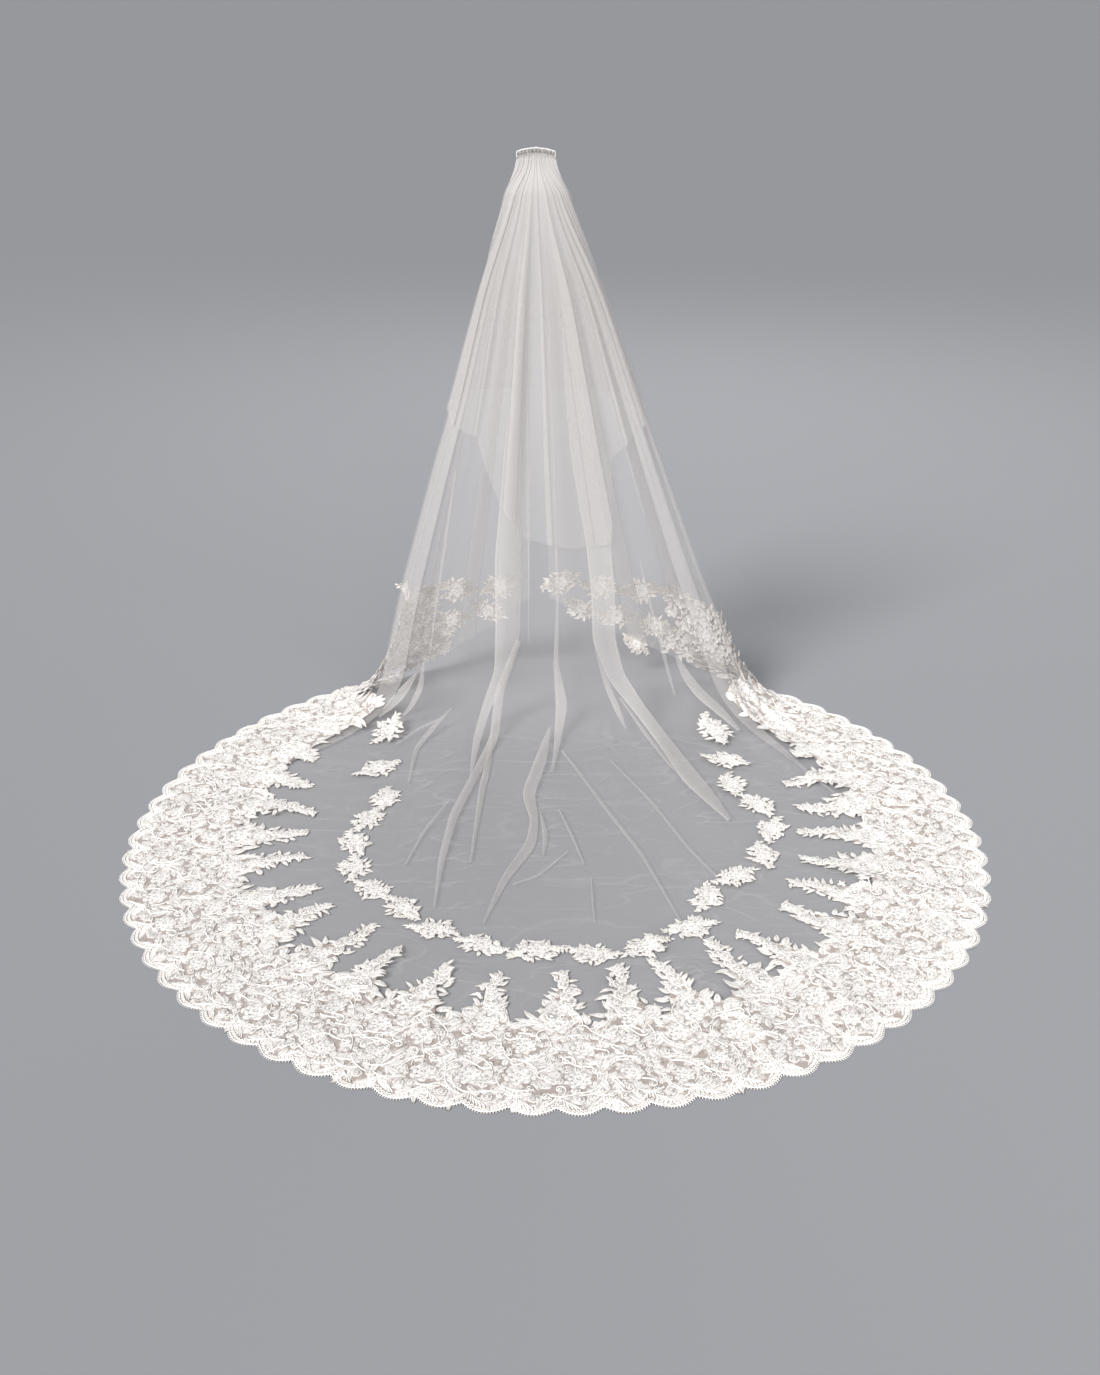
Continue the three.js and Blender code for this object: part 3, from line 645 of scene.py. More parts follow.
# Folds that lie in front, where the cloth is doubled into narrow strips: middle line and width,
# in pixels of a 1100 x 1375 frame, laid on the cloth that the camera sees there
foldStrips = [
    [(523, 175, 3), (521, 260, 6), (521, 340, 9), (514, 458, 20), (508, 560, 26), (508, 630, 25),
     (503, 672, 17), (487, 706, 9), (477, 740, 8), (470, 782, 2)],
    [(519, 640, 6), (500, 690, 9), (494, 739, 9), (477, 772, 8), (454, 815, 9), (442, 858, 7),
     (434, 909, 2)],
    [(493, 730, 3), (488, 765, 7), (482, 790, 7), (470, 866, 2)],
    [(525, 190, 1.5), (526, 330, 2), (528, 458, 2.5), (529, 560, 2), (529, 640, 1)],
    [(545, 210, 1.5), (549, 330, 2.5), (554, 470, 3), (558, 600, 3), (556, 664, 5), (562, 705, 12),
     (556, 754, 5), (551, 775, 2)],
    [(550, 728, 3), (541, 760, 12), (528, 795, 13), (535, 820, 8), (531, 845, 11), (505, 879, 8),
     (482, 927, 2)],
    [(540, 812, 2), (546, 835, 6), (543, 858, 2)],
    [(563, 300, 4), (571, 389, 12), (582, 458, 22), (598, 540, 25), (603, 590, 24), (604, 640, 23),
     (616, 676, 17), (641, 711, 12), (666, 744, 13), (690, 777, 17), (712, 800, 12), (732, 823, 3)],
    [(596, 650, 2), (607, 685, 6), (618, 711, 6), (628, 733, 1)],
    [(620, 698, 2), (645, 733, 4), (668, 762, 4), (690, 785, 1)],
    [(588, 277, 2), (605, 330, 4), (626, 404, 5), (643, 458, 4), (660, 510, 2)],
    [(600, 365, 1.5), (607, 387, 2.5), (628, 458, 2.5), (646, 520, 1.5)],
    [(562, 751, 2), (579, 772, 3.5), (607, 810, 4), (641, 853, 4), (684, 927, 2)],
    [(559, 810, 1.5), (572, 836, 3), (586, 869, 1.5)],
    [(591, 879, 1.5), (593, 905, 2.5), (595, 925, 1.5)],
    [(513, 885, 1.5), (539, 876, 3), (569, 851, 1.5)],
    [(418, 672, 2), (403, 692, 10), (392, 704, 9), (378, 718, 2)],
    [(424, 662, 2), (421, 688, 6), (411, 708, 5), (400, 719, 1.5)],
    [(452, 708, 1.5), (433, 728, 5), (416, 749, 5), (408, 787, 2)],
    [(676, 655, 3), (686, 676, 9), (700, 694, 10), (720, 711, 9), (740, 731, 3)],
    [(640, 560, 2), (652, 610, 3), (664, 655, 4), (676, 700, 2)],
    [(456, 470, 2), (446, 540, 3), (436, 610, 3), (430, 655, 2)],
    [(396, 745, 1.5), (420, 728, 3), (448, 716, 1.5)],
    [(610, 760, 1.5), (650, 800, 3), (690, 850, 3), (720, 880, 1.5)],
    [(450, 800, 1.5), (425, 830, 3), (404, 868, 2)],
]
stripCover = 0.23
stripStep = 5.0  # pixels from row to row
stripLayers = ((0.8, 1.0), (3.0, 0.93))  # height over the net and share of the width
# one strip across: share of its width, height and how much denser it looks
stripCourse = ((-0.5, 0.2, 0.24), (-0.43, 1.5, 0.04), (0.0, 1.9, -0.03), (0.43, 1.6, 0.04), (0.5, 0.3, 0.24))


def pixelRay(x, y):
    # direction through a pixel of the camera's frame
    frameWidth, frameHeight, lensPixels = 1100, 1375, 1500
    right, up = (x - frameWidth / 2) / lensPixels, (frameHeight / 2 - y) / lensPixels
    c, s = math.cos(math.radians(studio["pitch"])), math.sin(math.radians(studio["pitch"]))
    return Vector((right, c + up * s, up * c - s)).normalized()


def foldedStrips():
    eye = Vector(studio["cameraAt"]) / mm
    points, faces, covers, count = [], [], [], 0
    for strip in foldStrips:
        knots = np.array(strip, float)
        steps = np.linalg.norm(np.diff(knots[:, :2], axis=0), axis=-1)
        reach = np.concatenate([[0], np.cumsum(steps)])
        places = np.arange(0, reach[-1], stripStep)
        rows = np.stack([np.interp(places, reach, knots[:, k]) for k in range(3)], -1)
        for _ in range(2):  # rounds the corners of the path
            rows[1:-1] = (rows[:-2] + 2 * rows[1:-1] + rows[2:]) / 4
        along = np.gradient(rows[:, :2], axis=0)
        side = np.stack([along[:, 1], -along[:, 0]], -1) / lengthOf(along)
        for level, shrink in stripLayers:
            for row, across in zip(rows, side):
                for share, lift, edge in stripCourse:
                    x, y = row[:2] + across * row[2] * share * shrink
                    hit, normal = trainTree.ray_cast(eye, pixelRay(x, y))[:2]
                    if hit is None:
                        hit, normal = Vector(points[-1]), Vector((0, 0, 0))
                    elif normal.dot(pixelRay(x, y)) > 0:
                        normal = -normal
                    points.append(tuple(hit + normal * (lift + level)))
                    covers.append((stripCover + edge) * min(1, 0.45 + row[2] / 12))
            faces.append(gridTriangles(len(rows), len(stripCourse)) + count)
            count = len(points)
    piece = meshPiece("train_folds", points, np.concatenate(faces), tulleMaterial)
    covers = np.array(covers)
    place = np.array(points)
    dressNet(piece, place[:, 0] / 30, place[:, 1] + place[:, 2], covers, 0 * covers)
    return piece


foldsPiece = foldedStrips()


def ontoFarWall(points):
    x, z, high = points[:, 0], points[:, 1], points[:, 2]
    depth = readRaster(farRaster, raster["front"], x, z)
    return np.stack([x, depth + high, z], -1)


# Lace motifs, drawn flat: x, y and height over the net, with their triangles
roseRings = named("at rise notch phase", [
    (0.12, 3.0, 0.0, 0.0), (0.2, 1.6, 0.0, 0.0), (0.33, 3.2, 0.3, 0.0), (0.45, 1.9, 0.2, 0.2),
    (0.64, 3.0, 0.36, 0.5), (0.76, 1.5, 0.3, 0.5), (0.93, 2.5, 0.38, 0.0), (1.0, 0.1, 0.4, 0.0),
])
blossomRings = named("at rise notch phase", [
    (0.24, 3.4, 0.0, 0.0), (0.4, 0.6, 0.1, 0.0), (0.82, 3.0, 0.34, 0.0), (1.0, 0.1, 0.4, 0.0),
])


def flowerShape(rings, radius, petals, spokesPerPetal, height=1.0):
    spokes = petals * spokesPerPetal
    angle = np.arange(spokes) / spokes * 2 * np.pi
    points = [np.array([[0, 0, 2.4 * height]])]
    for ring in rings:
        petal = np.abs(np.cos(petals / 2 * angle + ring["phase"] * np.pi))
        reach = radius * ring["at"] * (1 - ring["notch"] * (1 - petal**0.6))
        rise = ring["rise"] * height * (0.75 + 0.25 * petal)
        points.append(np.stack([reach * np.cos(angle), reach * np.sin(angle), rise], -1))
    around = np.arange(spokes)
    centre = np.stack([np.zeros(spokes, int), 1 + around, 1 + (around + 1) % spokes], -1)
    sides = gridTriangles(len(rings), spokes, closed=True)[:, ::-1] + 1
    return np.concatenate(points), np.concatenate([centre, sides])


def leafShape(length, width, bend, height=1.0):
    along = np.linspace(0, 1, 7)
    across = np.array([-1, -0.6, 0, 0.6, 1])
    rises = np.array([0.1, 2.2, 0.9, 2.2, 0.1]) * height
    half = width / 2 * np.sin(np.pi * np.clip(along, 0, 0.97) ** 0.9) ** 0.6
    half[0] = width * 0.1
    x = bend * length * along[:, None] ** 2 + half[:, None] * across[None]
    y = length * along[:, None] + 0 * across[None]
    z = rises[None] * (0.35 + 0.65 * np.sin(np.pi * np.clip(along, 0.05, 0.95)))[:, None]
    return np.stack([x, y, z], -1).reshape(-1, 3), gridTriangles(7, 5)[:, ::-1]


def cordShape(path, width, height):
    path = np.asarray(path, float)
    along = np.gradient(path, axis=0)
    along /= np.maximum(lengthOf(along), 1e-9)
    side = np.stack([-along[:, 1], along[:, 0]], -1)
    across, rises = np.array([-0.5, -0.28, 0.28, 0.5]), np.array([0.1, 1, 1, 0.1]) * height
    flat = path[:, None] + side[:, None] * (across * width)[None, :, None]
    high = np.broadcast_to(rises, flat.shape[:2])
    return np.concatenate([flat, high[..., None]], -1).reshape(-1, 3), gridTriangles(len(path), 4)


def eyeletShape(radius, width=1.6, height=1.8):
    angle = np.linspace(0, 2 * np.pi, 9)
    return cordShape(np.stack([radius * np.cos(angle), radius * np.sin(angle)], -1), width, height)


def scrollPath(radius, turns, hand, tail):
    at = np.linspace(0, 1, 16)
    angle = hand * at * turns * 2 * np.pi
    reach = radius * (1 - 0.72 * at)
    spiral = np.stack([reach * np.cos(angle), reach * np.sin(angle)], -1)
    back = np.linspace(1, 0, 6)[:-1]
    lead = np.stack([radius + 0.25 * tail * back**2, -hand * tail * back], -1)
    return np.concatenate([lead, spiral])


def newBatch():
    return {"points": [], "faces": [], "rises": [], "count": 0}


def addShape(batch, shape, x, y, turn=0.0, size=1.0, lift=1.7):
    points, triangles = shape
    c, s = math.cos(turn) * size, math.sin(turn) * size
    placed = np.stack([x + c * points[:, 0] - s * points[:, 1], y + s * points[:, 0] + c * points[:, 1],
                       points[:, 2] * size**0.5 + lift], -1)
    batch["points"].append(placed)
    batch["rises"].append(points[:, 2] / points[:, 2].max())
    batch["faces"].append(triangles + batch["count"])
    batch["count"] += len(placed)


def batchPiece(name, batch, place, material):
    points = place(np.concatenate(batch["points"]))
    piece = meshPiece(name, points, np.concatenate(batch["faces"]), material)
    setAttribute(piece.data, "rise", np.concatenate(batch["rises"]))
    return piece


lace = {
    "radius": 1140,
    "scallopPitch": 5.0,  # degrees, about 100 mm along the edge
    "scallopDepth": 21,
    "borderTurn": 142,
    "fingerPitch": 11.0,
    "denseRadius": 850,
    "fingerTip": 655,
    "sideNarrowing": 200,
    "picotStep": 6.0,
    "cordReach": 1104,  # radius that the sweeping cords stay within, and the tendrils
    "tendrilReach": 1095,
    "seed": 41,
}
rng = np.random.default_rng(lace["seed"])


def planAt(angle, radius):
    angle = np.radians(angle)
    return train["centre"][0] + radius * np.sin(angle), train["centre"][1] - radius * np.cos(angle)


def besideCone(angle):
    return smooth(np.abs(angle), 95, 138)


def outerRadius(angle):
    lobe = np.abs(np.sin(np.pi * angle / lace["scallopPitch"]))
    return lace["radius"] - lace["scallopDepth"] * (1 - lobe)


def rootRadius(angle):
    return lace["denseRadius"] + 0.5 * lace["sideNarrowing"] * besideCone(angle)


def tipRadius(angle):
    return lace["fingerTip"] + 1.25 * lace["sideNarrowing"] * besideCone(angle)


fingerCount = round((2 * (lace["borderTurn"] - lace["fingerPitch"] / 2)) / lace["fingerPitch"])
fingers = []
for i in range(fingerCount):
    middle = (i + 0.5 - fingerCount / 2) * lace["fingerPitch"]
    fingers.append({
        "angle": middle + rng.uniform(-0.8, 0.8),
        "root": rootRadius(middle) + rng.uniform(-12, 14),
        "tip": tipRadius(middle) + rng.uniform(-22, 26),
        "lean": rng.uniform(-1.6, 1.6),
        "hand": 1 if i % 2 else -1,
    })


def fingerAxis(finger, at):
    # a finger bends slightly towards its tip
    angle = finger["angle"] + finger["lean"] * at**1.5 + 0.45 * finger["hand"] * np.sin(at * 2.4 * np.pi)
    return planAt(angle, mix(finger["root"] + 20, finger["tip"], at))


def innerRadius(angle):
    # inner edge of the net ground: the root line with the foot of each finger
    inner = rootRadius(angle) + 10 * np.sin(angle * 1.7) + 6 * np.sin(angle * 4.1)
    for finger in fingers:
        away = np.abs(angle - finger["angle"]) / 4.4
        reach = (finger["root"] - finger["tip"]) * 0.72 * np.clip(1 - away, 0, 1) ** 1.1
        inner = np.minimum(inner, finger["root"] + 30 - reach - 30 * smooth(1 - away, 0, 0.4))
    return inner


def laceGround():
    angles = np.arange(-lace["borderTurn"], lace["borderTurn"] + 0.01, 0.25)
    shares = np.linspace(0, 1, 30)
    inner, outer = innerRadius(angles), outerRadius(angles) - 4
    x, y = planAt(angles[None], mix(inner[None], outer[None], shares[:, None]))
    points = ontoTrain(np.stack([x, y, np.full_like(x, 1.5)], -1).reshape(-1, 3))
    piece = meshPiece("lace_ground", points, gridTriangles(*x.shape)[:, ::-1], groundMaterial)
    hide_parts("lace_border")
    return piece


cells = {"size": 4, "count": 580, "left": -1130, "near": -1950}
taken = np.zeros((cells["count"], cells["count"]), bool)  # cells that already hold a motif


def cellsOf(x, y):
    columns = ((x - cells["left"]) / cells["size"]).astype(int)
    rows = ((y - cells["near"]) / cells["size"]).astype(int)
    return np.clip(columns, 0, cells["count"] - 1), np.clip(rows, 0, cells["count"] - 1)


def discCells(x, y, radius):
    steps = np.arange(-radius, radius + 0.1, cells["size"])
    u, v = np.meshgrid(steps, steps)
    inside = u**2 + v**2 <= radius**2
    return cellsOf(x + u[inside], y + v[inside])


def claim(spots, share):
    if taken[spots].mean() > share:
        return False
    taken[spots] = True
    return True


def stripCells(x, y, turn, length, width):
    at, side = np.meshgrid(np.linspace(0.1, 1, 7), (-0.3, 0, 0.3))
    forward = (-math.sin(turn), math.cos(turn))
    sideways = (math.cos(turn), math.sin(turn))
    return cellsOf(x + forward[0] * at.ravel() * length + sideways[0] * side.ravel() * width,
                   y + forward[1] * at.ravel() * length + sideways[1] * side.ravel() * width)


roseShapes = [flowerShape(roseRings, 1.0, petals, 5) for petals in (6, 7, 8)]
blossomShape = flowerShape(blossomRings, 1.0, 5, 3)
leafShapes = [leafShape(1.0, 0.56, bend) for bend in (-0.6, 0.15, 0.6)]


def unit(shape, size):
    # unit shapes have heights in millimetres already, so only their plan is scaled
    points = shape[0].copy()
    points[:, :2] *= size
    return points, shape[1]


def laceMotifs():
    roses, leaves, blossoms, cords = newBatch(), newBatch(), newBatch(), newBatch()
    middles = []

    def addRose(x, y, radius, share=0.3):
        if not claim(discCells(x, y, radius), share):
            return
        addShape(roses, unit(roseShapes[rng.integers(3)], radius), x, y, rng.uniform(0, 6.3))
        middles.append((x, y))

    def addLeaf(x, y, turn, length, share=0.3):
        if claim(stripCells(x, y, turn, length, length * 0.4), share):
            addShape(leaves, unit(leafShapes[rng.integers(3)], length), x, y, turn)

    def addBlossom(x, y, radius, share=0.3):
        if claim(discCells(x, y, radius * 0.9), share):
            addShape(blossoms, unit(blossomShape, radius), x, y, rng.uniform(0, 6.3))

    # fingers: flowers packed in a tapering shape, with small blunt leaves that hook out of its sides
    for finger in fingers:
        x, y = fingerAxis(finger, 0.08)
        addRose(x, y, rng.uniform(32, 37), 1)
        x, y = fingerAxis(finger, 0.34)
        addRose(x + rng.uniform(-6, 6), y, rng.uniform(22, 26), 1)
        turned = math.radians(finger["angle"])
        for at in (0.2, 0.46, 0.56, 0.66, 0.75, 0.83, 0.9, 0.96):
            x, y = fingerAxis(finger, at)
            size = mix(30, 12, at)
            offset = rng.uniform(-1, 1) * mix(22, 3, at)
            x, y = x + offset * math.cos(turned), y + offset * math.sin(turned)
            addBlossom(x, y, size * rng.uniform(0.85, 1.15), 1)
        for step, at in enumerate(np.linspace(0, 0.98, 34)):
            x, y = fingerAxis(finger, at)
            nextX, nextY = fingerAxis(finger, at + 0.05)
            heading = math.atan2(-(nextX - x), nextY - y)
            side = 1 if step % 2 else -1
            half = mix(66, 6, at**0.7) * rng.uniform(0.3, 1.0)
            length = mix(34, 17, at) * rng.uniform(0.7, 1.2)
            addLeaf(x + side * half * math.cos(heading), y + side * half * math.sin(heading),
                    heading - side * rng.uniform(0.0, 1.5), length, 1)
        # leaves that hook out over the gaps at the root
        for side in (-1, 1):
            for away in (2.2, 3.9):
                x, y = planAt(finger["angle"] + side * away, finger["root"] + rng.uniform(-4, 12))
                addLeaf(x, y, turned - side * rng.uniform(0.1, 0.9), rng.uniform(30, 42), 1)

    # roses in two staggered rows round the band
    for row, (radius, pitch) in enumerate(((1042, 6.1), (938, 6.9))):
        for angle in np.arange(-138 + row * 3, 139, pitch):
            x, y = planAt(angle + rng.uniform(-0.7, 0.7), radius + rng.uniform(-26, 26))
            addRose(x, y, rng.uniform(22, 35))
    # small blossoms under the scalloped edge
    for angle in np.arange(-140, 140.1, lace["scallopPitch"]):
        for step in (-1.35, 0, 1.35):
            x, y = planAt(angle + lace["scallopPitch"] / 2 + step, 1096 - 7 * abs(step))
            addBlossom(x, y, 11 if step else 14)

    def polarOf(x, y):
        # angle in degrees and radius about the train's centre
        dx, dy = x - train["centre"][0], y - train["centre"][1]
        return np.degrees(np.arctan2(dx, -dy)), np.hypot(dx, dy)

    # cords that sweep round the roses
    for x, y in middles:
        for _ in range(4):
            start, sweep, radius = rng.uniform(0, 6.3), rng.uniform(0.7, 1.7), rng.uniform(36, 56)
            angle = start + np.linspace(0, sweep, 12)
            grown = radius * (1 + 0.25 * np.linspace(0, 1, 12) ** 2)
            path = np.stack([x + grown * np.cos(angle), y + grown * np.sin(angle)], -1)
            turned, spots = polarOf(path[:, 0], path[:, 1])
            inBand = np.all(spots > innerRadius(turned) + 4) and spots.max() < lace["cordReach"]
            if inBand and np.abs(turned).max() < lace["borderTurn"] - 1:
                addShape(cords, cordShape(path, 3.2, 2.8), 0, 0)
    # tendrils beside the roses
    for x, y in middles:
        for _ in range(3):
            away = rng.uniform(0, 6.3)
            radius = rng.uniform(13, 20)
            sx, sy = x + 52 * math.cos(away), y + 52 * math.sin(away)
            angle, reach = polarOf(sx, sy)
            inner = innerRadius(np.array([angle]))[0]
            if reach < inner + 15 or reach > lace["tendrilReach"] or abs(angle) > lace["borderTurn"] - 3:
                continue
            if claim(discCells(sx, sy, radius), 0.2):
                path = scrollPath(radius, rng.uniform(0.45, 0.85), rng.choice([-1, 1]), rng.uniform(30, 55))
                addShape(cords, cordShape(path, 3.2, 2.6), sx, sy, rng.uniform(0, 6.3))
                addBlossom(sx, sy, 8, 1)

    # leaves and small blossoms fill the rest, leaves pointing away from the nearest rose
    centres = np.array(middles)
    for _ in range(16000):
        angle = rng.uniform(-141, 141)
        inner = innerRadius(np.array([angle]))[0]
        reach = rng.uniform(inner + 4, 1100)
        x, y = planAt(angle, reach)
        if taken[cellsOf(np.array([x]), np.array([y]))][0]:
            continue
        gap = centres - (x, y)
        nearest = gap[np.argmin((gap**2).sum(1))]
        heading = math.atan2(nearest[0], -nearest[1]) + rng.normal(0, 0.55)
        if rng.random() < 0.62:
            addLeaf(x, y, heading, rng.uniform(26, 44), 0.22)
        else:
            addBlossom(x, y, rng.uniform(8, 13), 0.18)
    for _ in range(5000):
        angle, reach = rng.uniform(-141, 141), rng.uniform(860, 1108)
        if reach < innerRadius(np.array([angle]))[0] + 6:
            continue
        x, y = planAt(angle, reach)
        if claim(discCells(x, y, 4), 0.1):
            addShape(cords, eyeletShape(3.6), x, y)
    return [
        batchPiece("lace_roses", roses, ontoTrain, roseMaterial),
        batchPiece("lace_leaves", leaves, ontoTrain, leafMaterial),
        batchPiece("lace_blossoms", blossoms, ontoTrain, roseMaterial),
        batchPiece("lace_cords", cords, ontoTrain, cordMaterial),
    ]


def laceEdging():
    batch = newBatch()
    angles = np.arange(-lace["borderTurn"], lace["borderTurn"] + 0.01, 0.22)
    path = np.stack(planAt(angles, outerRadius(angles) - 1), -1)
    addShape(batch, cordShape(path, 3.6, 2.6), 0, 0, lift=1.2)
    perMillimetre = math.degrees(1 / lace["radius"])
    # a row of small eyelets follows the edge
    for angle in np.arange(-lace["borderTurn"] + 0.2, lace["borderTurn"], 8.4 * perMillimetre):
        x, y = planAt(angle, outerRadius(np.array([angle]))[0] - 8)
        addShape(batch, eyeletShape(3.3, 2.0, 2.4), x, y, lift=1.2)
    # fans of slits spread to each scallop, and short picots stand along the edge
    firstMiddle = -lace["borderTurn"] + lace["scallopPitch"] / 2
    for middle in np.arange(firstMiddle, lace["borderTurn"], lace["scallopPitch"]):
        for share in np.linspace(-1, 1, 11):
            angle = middle + share * lace["scallopPitch"] * 0.42
            outer = outerRadius(np.array([angle]))[0]
            inner = outer - 40 + 9 * abs(share)
            bar = [planAt(mix(angle, middle, 0.45 * at), mix(outer - 14, inner, at)) for at in (0, 0.5, 1)]
            addShape(batch, cordShape(bar, 3.4, 2.6), 0, 0, lift=1.2)
        arc = middle + np.linspace(-0.3, 0.3, 9) * lace["scallopPitch"]
        sag = 1078 + 10 * np.cos(np.linspace(-1.5, 1.5, 9))
        addShape(batch, cordShape(np.stack(planAt(arc, sag), -1), 4.0, 3.2), 0, 0, lift=1.2)
    for angle in np.arange(-lace["borderTurn"] + 0.1, lace["borderTurn"], lace["picotStep"] * perMillimetre):
        outer = outerRadius(np.array([angle]))[0]
        tilt = 0.12 * math.sin(math.pi * angle / lace["scallopPitch"] * 2)
        picot = [planAt(angle - 0.6 * tilt * at, outer + 6 * at) for at in (0, 0.6, 1)]
        addShape(batch, cordShape(picot, 2.2, 1.4), 0, 0, lift=0.8)
    return batchPiece("lace_edging", batch, ontoTrain, cordMaterial)


# Beside the open back the border climbs with the hem onto the hanging cloth
flank = {
    "turns": (100, 152),
    "climb": 900,  # length of cloth that is measured up from the hem
    "step": 10,
    "top": 300,  # height over the floor that the lace reaches
    "band": 160,  # width beside the hem that the border itself covers
}
# Size, least distance to the others and number of tries of each motif
flankMotifs = [("rose", 24, 42, 900), ("blossom", 13, 21, 1500), ("leaf", 23, 11, 6500)]


def flankSurface(side):
    # the outer face by turn and by cloth length from the hem, with its normals
    turns = side * np.linspace(*flank["turns"], 67)
    alongs = np.linspace(3, 0.6, 150)
    rows = np.array([trainRow(turns, 0 * turns, at) for at in alongs])
    normals = np.array([trainRow(turns, 1 + 0 * turns, at) for at in alongs]) - rows
    lengths = lengthsDown(rows)
    wanted = np.arange(0, flank["climb"], flank["step"])
    both = np.concatenate([rows, normals], -1)
    surface = np.stack([
        np.stack([np.interp(wanted, lengths[:, i], both[:, i, k]) for k in range(6)], -1)
        for i in range(len(turns))
    ], 1)
    return surface[..., :3], surface[..., 3:] / lengthOf(surface[..., 3:])


def flankLace(side, name):
    points, normals = flankSurface(side)
    batch, centres = newBatch(), []
    rowCount, columnCount = points.shape[:2]
    for kind, size, apart, tries in flankMotifs:
        for _ in range(tries):
            i, j = rng.integers(1, rowCount - 1), rng.integers(1, columnCount - 1)
            middle, normal = points[i, j], normals[i, j]
            high = middle[2] - cone["floorZ"]
            turn = mix(*flank["turns"], j / (columnCount - 1))
            along = i * flank["step"]
            if high > flank["top"] - 25 * rng.random() or (turn < 124 and along < flank["band"]) or i < 2:
                continue
            if (turn > 143 and along > 110) or (high < 40 and turn < 110):
                continue
            if centres and np.min(np.linalg.norm(np.array(centres) - middle, axis=1)) < apart:
                continue
            centres.append(middle)
            shapes = {"rose": roseShapes[rng.integers(3)], "blossom": blossomShape,
                      "leaf": leafShapes[rng.integers(3)]}
            flat = newBatch()
            motif = unit(shapes[kind], size * rng.uniform(0.85, 1.15))
            addShape(flat, motif, 0, 0, rng.uniform(0, 6.3), lift=4)
            local = flat["points"][0]
            across = np.cross(normal, points[i, j + 1] - points[i, j - 1])
            across /= max(np.linalg.norm(across), 1e-9)
            forward = np.cross(across, normal)
            placed = middle + local[:, :1] * forward + local[:, 1:2] * across + local[:, 2:] * normal
            placed[:, 2] = np.maximum(placed[:, 2], cone["floorZ"] + 1)
            batch["points"].append(placed)
            batch["rises"].append(flat["rises"][0])
            batch["faces"].append(flat["faces"][0] + batch["count"])
            batch["count"] += len(placed)
    return batchPiece(name, batch, lambda placed: placed, farSprayMaterial)


groundPiece = laceGround()
lacePieces = laceMotifs() + [laceEdging()]
lacePieces += [flankLace(-1, "flank_lace_left"), flankLace(1, "flank_lace_right")]

# Sprays sewn one by one: a rose with leafy arms
ringSprays = named("turn radius size lean", [
    (-138.5, 768, 66, 0.5), (-124, 622, 66, -0.4), (-110, 506, 60, 0.3), (-96, 516, 60, -0.3),
    (-82.5, 540, 61, 0.4), (-69.5, 556, 60, -0.3), (-57, 552, 59, 0.3), (-44.5, 540, 59, -0.35),
    (-31.5, 562, 61, 0.3), (-18, 572, 62, -0.2), (-4.5, 570, 64, 0.2), (8.5, 588, 60, -0.35),
    (21.5, 592, 62, 0.3), (35, 574, 62, -0.2), (48.5, 510, 60, 0.5), (62.5, 524, 60, -0.4),
    (76, 564, 60, 0.3), (89.5, 588, 63, -0.3), (103, 580, 62, 0.35), (116, 562, 60, -0.3),
    (128, 640, 64, 0.4), (139, 745, 66, -0.4),
])
# on the far free edges, in X and in height above the floor
farSprays = named("x up size lean", [
    (-385, 312, 62, 0.1), (-262, 318, 62, -0.2), (-125, 324, 62, 0.3), (72, 338, 60, 0.4),
    (200, 318, 62, -0.1), (330, 312, 62, 0.2), (446, 300, 58, -0.3), (-388, 190, 56, 0.5),
    (-286, 205, 58, 0.2), (-165, 230, 55, -0.4), (138, 240, 52, -0.5), (258, 208, 60, 0.1),
    (385, 182, 58, -0.3), (-345, 110, 44, 0.6), (322, 112, 44, -0.5),
])
# round each rose: small flowers, as shares of the spray's size along and across it
sprayFlowers = [(0.42, 0.34, 0.19), (-0.44, 0.3, 0.18), (0.4, -0.34, 0.18), (-0.38, -0.36, 0.19)]


def sprayBatch(x, y, size, lean):
    batch = newBatch()
    c, s = math.cos(lean), math.sin(lean)

    def at(u, v):
        return x + c * u * size - s * v * size, y + s * u * size + c * v * size

    for u, v, radius in sprayFlowers:
        u, v = u + rng.uniform(-0.07, 0.07), v + rng.uniform(-0.07, 0.07)
        flower = unit(blossomShape, size * radius * rng.uniform(0.85, 1.2))
        addShape(batch, flower, *at(u, v), rng.uniform(0, 6.3), lift=2.0)
    for step in range(18):
        away = step / 18 * 2 * math.pi + rng.uniform(-0.16, 0.16)
        reach = mix(0.4, 0.55, abs(math.cos(away)))
        heading = lean + away - math.pi / 2 + rng.choice([-1, 1]) * rng.uniform(0.1, 0.9)
        addShape(batch, unit(leafShapes[rng.integers(3)], size * rng.uniform(0.26, 0.42)),
                 *at(reach * math.cos(away), reach * math.sin(away)), heading, lift=1.5)
    # two leafy arms reach towards the next sprays
    for hand in (-1, 1):
        bend = rng.uniform(-0.5, 0.5)
        for step in range(9):
            u = 0.42 + 0.08 * step
            v = bend * (u - 0.3) ** 2
            side = 1 if step % 2 else -1
            if step % 2:
                flower = unit(blossomShape, size * mix(0.2, 0.1, step / 8))
                addShape(batch, flower, *at(hand * u, v + 0.06 * side), rng.uniform(0, 6.3), lift=1.9)
            leaf = unit(leafShapes[rng.integers(3)], size * mix(0.36, 0.22, step / 8))
            heading = lean - hand * math.pi / 2 + side * rng.uniform(0.3, 1.3)
            addShape(batch, leaf, *at(hand * u, v), heading, lift=1.5)
    addShape(batch, unit(roseShapes[rng.integers(3)], size * 0.5), *at(0, 0), rng.uniform(0, 6.3), lift=2.4)
    return batch


def sewSpray(batch, name, place, material, node):
    piece = batchPiece(name, batch, place, material)
    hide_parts(node)


